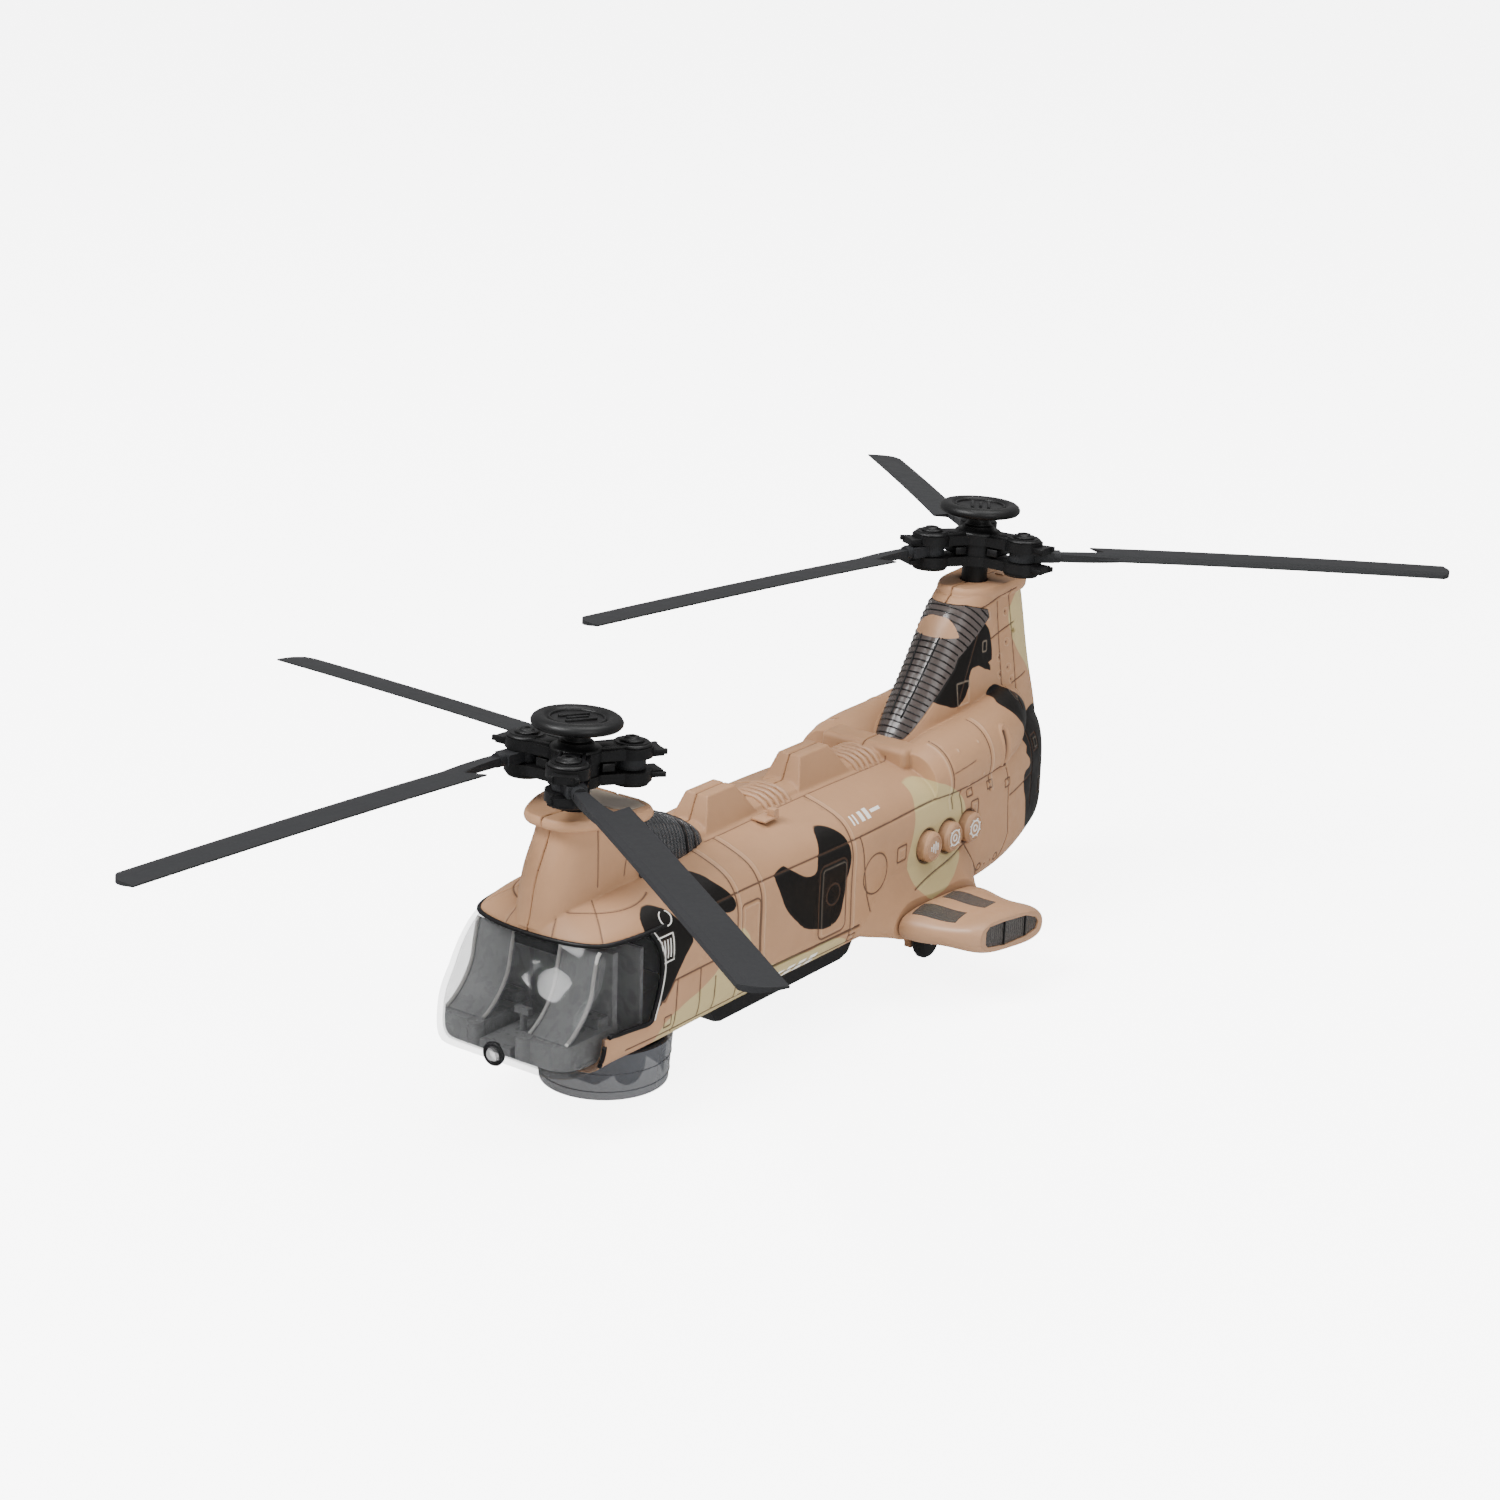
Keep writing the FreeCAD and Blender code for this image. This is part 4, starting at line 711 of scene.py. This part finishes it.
window = skin("tail_window")
inset = skin("tail_window_panel")
WINDOW_RIB_PITCH = 3.0
slope = Vector((0, 0.70, 0.714))
square = Vector((0, -0.714, 0.70))
foot = Vector((0, 126.0, 66.0))
flanks = skin("fuselage_shell_port", "fuselage_shell_starboard")
runs = [hoop(window, foot + slope * (WINDOW_RIB_PITCH * index), square, 100.0, 0.0, inset)
        for index in range(27)]
piece("tail_window_ribs", beads("ribs", runs, 0.36), "fuselage", gloss_black)
runs = []
for side in (-1.0, 1.0):
    runs.append([touch(window, Vector((side * (2.6 + 0.10 * step), 0, 0)) + foot
                       + slope * (8.0 + 2.0 * step) + square * 40.0, -square, 0.2) for step in range(22)])
runs.append([touch(window, Vector((x, 0, 0)) + foot + slope * 50.0 + square * 40.0, -square, 0.2)
             for x in (-4.6, -2.3, 0.0, 2.3, 4.6)])
piece("tail_window_frame", beads("frame", runs, 0.4), "fuselage", black)
knobs = []
for x in (-4.6, 4.6):
    spot = touch(window, (x, 150.0, 150.0), (0, 0, -1), 0.9)
    if spot is not None:
        knobs.append(block("knob", 3.4, 4.6, 2.4, spot, 0.0, 0.6))
if knobs:
    piece("tail_window_knobs", joined("knobs", knobs), "fuselage", gloss_black)

fairing = skin("front_pylon_window")
runs = [hoop(fairing, (0, place, 70.0), (0, 0, 1), 88.0, 0.05)
        for place in np.arange(-76.5, -34.5, 2.5)]
piece("fairing_ribs", beads("ribs", runs, 0.45), "fuselage", grey_smoke)
runs = [hoop(fairing, (0, place, 70.0), (0, 0, 1), 88.0, 0.1) for place in (-47.0, -40.5)]
piece("fairing_bands", beads("bands", runs, 0.75), "fuselage", gloss_black)

# ribs over the spine behind each hump
CROWN = [(-11.4, 67.5), (-11.4, 69.6), (-10.4, 71.2), (-8.6, 73.4), (-6.6, 74.4), (-4.2, 75.2),
         (0, 75.3), (4.2, 75.2), (6.6, 74.4), (8.6, 73.4), (10.4, 71.2), (11.4, 69.6), (11.4, 67.5)]
runs = [[Vector((x * 1.01, place, z + 0.2)) for x, z in CROWN]
        for place in (12, 15.8, 19.6, 23.4, 27.2, 77, 80.8, 84.6, 88.4, 92.2)]
piece("spine_ribs", beads("ribs", runs, 1.15, 12), "fuselage", tan)
bracket = [block("plate", 7.0, 9.0, 1.0, (16.0, 3.0, 71.5), 0.0, 0.3),
           block("post", 3.6, 3.4, 4.0, (17.5, 6.6, 73.0)),
           block("mast_post", 5.0, 7.0, 7.0, (5.4, 195.4, 129.0), 0.0, 0.5, 0.9)]
piece("roof_bracket", joined("bracket", bracket), "fuselage", tan)

# canopy gaskets, pillar edges, and white beads on the cockpit panel edges as a painted highlight
nose = skin("canopy_windshield", "fuselage_shell_port", "fuselage_shell_starboard")
REAR_EDGE = [(-98.0, 57.5), (-95.6, 53.0), (-93.8, 48.0), (-92.8, 42.0), (-93.6, 36.0), (-95.4, 30.0),
             (-97.8, 24.5), (-99.8, 21.4), (-108.0, 21.8), (-117.0, 22.4), (-125.0, 22.8),
             (-127.0, 17.0), (-128.0, 12.0)]


runs = []
pale_runs = []
for side in (-1.0, 1.0):
    line = smoothed(REAR_EDGE)
    runs.append([touch(nose, (side * 60.0, point[0], point[1]), (-side, 0, 0), 0.1) for point in line])
    pale_runs.append([touch(nose, (side * 60.0, point[0] + 2.0, point[1]), (-side, 0, 0), 0.15)
                      for point in line[:42]])
sweep = []
for index in range(73):
    angle = math.radians(-108.0 + 3.0 * index)
    out = Vector((math.sin(angle), -math.cos(angle), 0))
    sweep.append(touch(nose, Vector((0, -100.0, 57.9)) + out * 60.0, -out, 0.0))
runs.append(sweep)
piece("canopy_gasket", beads("gasket", runs, 0.95, 8), "fuselage", black)
piece("canopy_trim", beads("trim", pale_runs, 0.32), "fuselage", white)

glass = skin("canopy_windshield")


def console(low_x, high_x):
    """A curved cockpit panel rising from its ledge, kept inside the clear nose."""
    profile = smoothed([(-141.0, 23.4), (-136.5, 26.0), (-131.0, 31.0), (-126.5, 38.0), (-124.6, 46.0),
                        (-122.5, 55.0)], 5)
    build = bmesh.new()
    columns = []
    for x in (low_x, low_x + 0.8, (low_x + high_x) / 2, high_x - 0.8, high_x):
        column = []
        for y, z in profile:
            front = touch(glass, (x, -200.0, z), (0, 1, 0), 0.0, 100.0)
            if front is not None:
                y = max(y, front[1] + 3.2)
            column.append(Vector((x, y, z)))
        columns.append(column)
    verts = [[build.verts.new(point * MM) for point in column] for column in columns]
    for left, right in zip(verts, verts[1:]):
        for index in range(len(left) - 1):
            build.faces.new((left[index], right[index], right[index + 1], left[index + 1]))
    bmesh.ops.recalc_face_normals(build, faces=build.faces)
    bmesh.ops.solidify(build, geom=build.faces[:], thickness=1.2 * MM)
    mesh = bpy.data.meshes.new("console")
    build.to_mesh(mesh)
    build.free()
    mesh.shade_smooth()
    mesh.set_sharp_from_angle(angle=math.radians(45))
    return mesh, [columns[0], columns[-1]]


sheets = []
edges = []
for low_x, high_x in ((-29.0, -10.5), (12.5, 30.5)):
    mesh, sides = console(low_x, high_x)
    sheets.append(mesh)
    edges += [[point + Vector((0, -0.5, 0.5)) for point in side] for side in sides]
piece("cockpit_consoles", joined("consoles", sheets), "fuselage", silver)
# white beads along the panel edges: a painted highlight where the edges catch the light
piece("cockpit_edge_highlights", beads("edges", edges, 0.75, 8), "fuselage", white)
header = [block("header", 21.0, 3.0, 6.6, (0.5, -122.5, 53.2), 0.0, 0.4)]
for x in (-5.0, 4.0):
    facing = Matrix.Translation(Vector((x, -124.0, 53.6)) * MM) @ FORWARD
    header.append(placed(lathe("bolt", [(1.1, 0), (1.1, 0.5), (0.7, 0.8), (0, 0.8)], 16), facing))
piece("cockpit_header", joined("header", header), "fuselage", gloss_black)

# ---------------------------------------------------------------- rotors
TILT = math.radians(-3.5)
# mast head in mm, and the angle of the first blade pivot in degrees
MASTS = {"front": (Vector((0, -100.0, 124.0)), 62.3), "rear": (Vector((0, 181.3, 152.2)), 122.0)}
PIVOT_RADIUS = 23.4


def hub_matrix(end):
    head, phase = MASTS[end]
    return (Matrix.Translation(head * MM) @ Matrix.Rotation(TILT, 4, "X")
            @ Matrix.Translation((0, 0, -6.0 * MM)) @ Matrix.Rotation(math.radians(phase), 4, "Z"))


KNOB = [(0.0, 18.9), (9.5, 18.9), (11.6, 18.8), (12.4, 19.6), (13.0, 20.0), (14.6, 20.15),
        (16.2, 19.9), (17.3, 19.1), (17.95, 17.9), (17.8, 16.8), (17.0, 15.9), (15.6, 15.45), (13.0, 15.4),
        (6.4, 15.3), (5.2, 14.9), (5.0, 14.2), (5.0, 11.4), (5.6, 10.9), (5.6, 10.2), (0, 10.2)]
for end in ("front", "rear"):
    hub = hub_matrix(end)
    parts = [lathe("knob", KNOB)]
    parts.append(lathe("ring", [(10.4, 18.8), (10.4, 19.5), (11.0, 19.6), (11.3, 18.8)]))
    for shift, length in ((3.4, 13.0), (-0.2, 9.0), (-3.8, 13.0)):
        parts.append(block("bar", length, 1.3, 1.3, (0, shift, 19.1), 0.0, 0.25))
    piece(end + "_knob", placed(joined("knob", parts), hub), end + "_rotor", black,
          (end + "_hub_knob",))
    fittings = []
    for index in range(3):
        turn = math.radians(120 * index)
        centre = Vector((PIVOT_RADIUS * math.cos(turn), PIVOT_RADIUS * math.sin(turn), 0))
        spin = Matrix.Translation(centre * MM) @ Matrix.Rotation(turn, 4, "Z")
        washer = lathe("washer", [(1.6, 8.3), (5.2, 8.3), (5.2, 8.9), (4.7, 9.3), (3.6, 9.3), (3.2, 9.9),
                                  (2.9, 10.2), (1.2, 10.2)], 6)
        collar = lathe("collar", [(5.0, 6.7), (7.9, 6.7), (7.9, 7.4), (7.2, 8.0), (5.2, 8.4), (2.0, 8.4)], 48)
        under = lathe("under", [(7.6, -6.9), (7.9, -7.6), (7.2, -8.6), (4.6, -8.9), (0, -8.9)], 48)
        for mesh in (washer, collar, under):
            fittings.append(placed(mesh, spin))
        for side in (-1, 1):
            fittings.append(placed(block("rib", 15.0, 1.4, 1.4, (-10.5, side * 4.6, 7.1), side * 4.0),
                                   spin))
            for height in (4.6, -4.6):
                fittings.append(placed(block("claw", 6.4, 1.8, 2.2, (9.8, side * 4.4, height),
                                             side * 12.0, 0.3), spin))
            fittings.append(placed(lathe("rivet", [(0, 7.6), (0.9, 7.6), (1.1, 7.2), (1.1, 6.7)], 16),
                                   spin @ Matrix.Translation((-6.2 * MM, side * 2.1 * MM, 0))))
        fittings.append(placed(block("web", 8.0, 7.0, 1.2, (-9.5, 0, 7.2), 0.0, 0.3), spin))
        fittings.append(placed(block("cheek", 5.4, 12.8, 3.4, (-12.0, 0, 0.0), 0.0, 0.5), spin))
    fittings.append(lathe("crown", [(10.2, 6.7), (10.2, 7.6), (9.4, 8.2), (7.4, 8.4), (7.0, 9.6), (6.2, 10.3),
                                    (5.0, 10.4)], 64))
    piece(end + "_hub_fittings", placed(joined("fittings", fittings), hub), end + "_rotor",
          black)
    for plate in ("lower", "upper"):
        bevel("%s_hub_%s_plate" % (end, plate), 0.35, material=black)
    bevel(end + "_pivot_screws", 0.15, material=black)
    for index in range(3):
        bevel("%s_blade_%d" % (end, index + 1), 0.22, 28.0, material=blade_black)
    paint(NODES[end + "_rotor_shaft"], steel)
    for name in ("_rotor_gear", "_motor_pinion", "_rotor_bush"):
        paint(NODES[end + name], natural)
    paint(NODES[end + "_motor"], steel)
    paint(NODES[end + "_gear_plate"], black)

# ---------------------------------------------------------------- plain nodes
for name in ("sponson_port", "sponson_starboard", "tail_window_panel"):
    bevel(name, 0.35, 35.0, material=tan)
for name in ("button_sound", "button_light", "button_mode"):
    bevel(name, 0.45, 30.0, 3, material=tan)
for name in ("battery_box", "battery_door", "turret_base", "turret_gearbox", "power_switch", "speaker"):
    bevel(name, 0.35, 35.0, material=black)
for name in ("drive_wheel_port", "drive_wheel_starboard", "rear_wheel_port", "rear_wheel_starboard"):
    bevel(name, 0.3, 30.0, material=rubber)
for name in ("drive_axle", "rear_axle", "battery_contacts", "battery_door_screw", "shell_screws"):
    bevel(name, 0.1, 35.0, material=steel)
for name in ("sponson_lenses_port", "sponson_lenses_starboard"):
    bevel(name, 0.2, 35.0, material=lens_smoke)
for name, material in (("canopy_windshield", smoke), ("tail_window", brown_smoke),
                       ("front_pylon_window", grey_smoke)):
    paint(NODES[name], material)
bevel("cockpit_tray", 0.6, 30.0, 3, material=silver)
bevel("front_pylon_hatch", 0.25, 35.0, material=hatch_tan)
bevel("turret_ring", 0.3, 35.0, material=ring_clear)
paint(NODES["nose_lamp_lens"], lens_clear)
paint(NODES["circuit_board"], green)
paint(NODES["battery_cells"], sleeve)


def ring_points(centre, radius, start=0.0, end=360.0, count=28):
    """Points on an arc in the side view, at x = centre[0]."""
    x, y, z = centre
    return [Vector((x, y + radius * math.cos(math.radians(start + (end - start) * i / count)),
                    z + radius * math.sin(math.radians(start + (end - start) * i / count))))
            for i in range(count + 1)]


# plain white icons on the buttons: bars, a ring and a toothed ring
FACE = 41.85
BUTTON_HEIGHT = 39.0
icons = {"sound": 92.5, "light": 108.5, "mode": 124.5}
for kind, place in icons.items():
    centre = (FACE, place, BUTTON_HEIGHT)
    if kind == "sound":
        runs = [[Vector((FACE, place + shift, BUTTON_HEIGHT + z)) for z in (-tall, 0, tall)]
                for shift, tall in ((-2.4, 1.0), (-0.8, 1.9), (0.8, 2.7), (2.4, 1.6))]
    else:
        runs = [ring_points(centre, 3.4), ring_points(centre, 1.4)]
        teeth = 8 if kind == "mode" else 4
        for index in range(teeth):
            angle = 2 * math.pi * (index + 0.5) / teeth
            runs.append([Vector((FACE, place + radius * math.cos(angle),
                                 BUTTON_HEIGHT + radius * math.sin(angle))) for radius in (3.4, 3.9, 4.4)])
    piece("button_icon_" + kind, beads("icon", runs, 0.34), "button_" + kind, white)
    runs = [ring_points((FACE - 0.25, place, BUTTON_HEIGHT), 5.3, count=40)]
    piece("button_rim_" + kind, beads("rim", runs, 0.45, 8), "button_" + kind, tan)

# marks painted on the nose flanks: a grille outline and an open ring
runs = []
for side in (-1.0, 1.0):
    middle_y, middle_z = GRILLE
    corners = [(-4.6, -5.4), (4.6, -5.4), (4.6, 5.4), (-4.6, 5.4), (-4.6, -5.4)]
    outline = []
    for (ay, az), (by, bz) in zip(corners, corners[1:]):
        outline += [(ay + (by - ay) * t / 6, az + (bz - az) * t / 6) for t in range(6)]
    outline.append(corners[0])
    slots = [[(shift, z) for z in np.linspace(-3.8, 3.8, 7)] for shift in (-2.7, -0.9, 0.9, 2.7)]
    for row in [outline] + slots:
        runs.append([touch(flanks, (side * 60.0, middle_y + y, middle_z + z), (-side, 0, 0), 0.35)
                     for y, z in row])
    ring = ring_points((0, -87.0, 57.0), 3.2, -250.0, 60.0)
    runs.append([touch(flanks, (side * 60.0, point[1], point[2] + 12.0), (-side, 0, -0.35), 0.1)
                 for point in ring])
piece("nose_marks", beads("marks", runs, 0.3), "fuselage", white)

# dark bars across the end lenses of the stub wings
bars = []
for side in (-1.0, 1.0):
    for place, low, high in ((88.7, 6.2, 16.6), (105.4, 5.0, 14.0)):
        bars.append(block("bar", 0.8, 0.9, high - low, (side * 81.0, place, (low + high) / 2),
                          0.0, 0.15))
piece("lens_bars", joined("bars", bars), "fuselage", gloss_black)

# collar between the drive ring and the belly, and fine lines round the ring
TURRET_AXIS = -80.0
collar = lathe("collar", [(24.6, 3.6), (25.2, 3.9), (25.2, 5.6), (24.8, 6.1), (23.0, 6.3), (21.0, 6.3)])
piece("turret_collar", placed(collar, Matrix.Translation((0, TURRET_AXIS * MM, 0))), "turret",
      black)
runs = []
for height in (-14.2, -6.5):
    radius = 26.05 + 1.6 * (height + 17.8) / 19.6
    runs.append([Vector((radius * math.cos(math.radians(5 * i)),
                         TURRET_AXIS + radius * math.sin(math.radians(5 * i)), height))
                 for i in range(73)])
piece("turret_ring_lines", beads("lines", runs, 0.22), "turret", ring_clear)

# the lamp socket in the chin
socket = lathe("socket", [(3.4, -1.0), (4.6, -1.0), (5.0, 0.4), (4.6, 1.3), (3.5, 1.3), (3.1, 0.4),
                          (3.1, -1.0)])
facing = Matrix.Translation((0, -147.2 * MM, 14.0 * MM)) @ FORWARD
piece("lamp_socket", placed(socket, facing), "fuselage", black)

# ---------------------------------------------------------------- floor, light and camera
GROUND = -18.5
build = bmesh.new()
bmesh.ops.create_grid(build, x_segments=1, y_segments=1, size=8.0)
floor_mesh = bpy.data.meshes.new("floor")
build.to_mesh(floor_mesh)
build.free()
floor = bpy.data.objects.new("floor", floor_mesh)
floor.location.z = (GROUND - 0.2) * MM
bpy.context.scene.collection.objects.link(floor)
pale = Nodes("pale_floor")
pale.feed(pale.shader.inputs["Base Color"],
          pale.mix(pale.ramp(pale.noise(3.0), 0.3, 0.7), (0.90, 0.90, 0.90, 1), (0.92, 0.92, 0.92, 1)))
seen = pale.new("ShaderNodeLightPath").outputs["Is Camera Ray"]
pale.feed(pale.shader.inputs["Emission Color"], pale.mix(seen, (0.05, 0.05, 0.05, 1), (1, 1, 1, 1)))
pale.shader.inputs["Emission Strength"].default_value = 6.0
pale.shader.inputs["Roughness"].default_value = 0.9
floor_mesh.materials.append(pale.material)
floor.visible_glossy = False


def softbox(name, at, aim, size, power):
    lamp = bpy.data.lights.new(name, "AREA")
    lamp.shape = "DISK"
    lamp.size = size
    lamp.energy = power
    obj = bpy.data.objects.new(name, lamp)
    obj.location = at
    obj.rotation_euler = (Vector(aim) - Vector(at)).to_track_quat("-Z", "Y").to_euler()
    bpy.context.scene.collection.objects.link(obj)


softbox("key", (-0.6, -1.5, 2.0), (0, 0, 0.05), 1.2, 100.0)
softbox("fill", (2.2, -0.9, 1.2), (0, 0, 0.05), 1.8, 30.0)
softbox("top", (0.3, 0.5, 2.4), (0, 0, 0), 2.0, 52.0)
world = bpy.data.worlds.new("studio")
world.use_nodes = True
world.node_tree.nodes["Background"].inputs[0].default_value = (1, 1, 1, 1)
world.node_tree.nodes["Background"].inputs[1].default_value = 0.40
bpy.context.scene.world = world

azimuth, elevation, roll = math.radians(35.83), math.radians(19.06), math.radians(1.7)
back = Vector((math.sin(azimuth) * math.cos(elevation), -math.cos(azimuth) * math.cos(elevation),
               math.sin(elevation)))
right = Vector((math.cos(azimuth), math.sin(azimuth), 0))
up = back.cross(right)
turned_right = right * math.cos(roll) + up * math.sin(roll)
turned_up = up * math.cos(roll) - right * math.sin(roll)
camera_data = bpy.data.cameras.new("camera")
camera_data.sensor_width = 36.0
camera_data.lens = 79.2
camera_data.clip_start = 0.05
camera_data.clip_end = 50.0
camera = bpy.data.objects.new("camera", camera_data)
basis = Matrix((turned_right, turned_up, back)).transposed().to_4x4()
camera.matrix_world = Matrix.Translation((0.7499, -1.0251, 0.5370)) @ basis
bpy.context.scene.collection.objects.link(camera)
bpy.context.scene.camera = camera
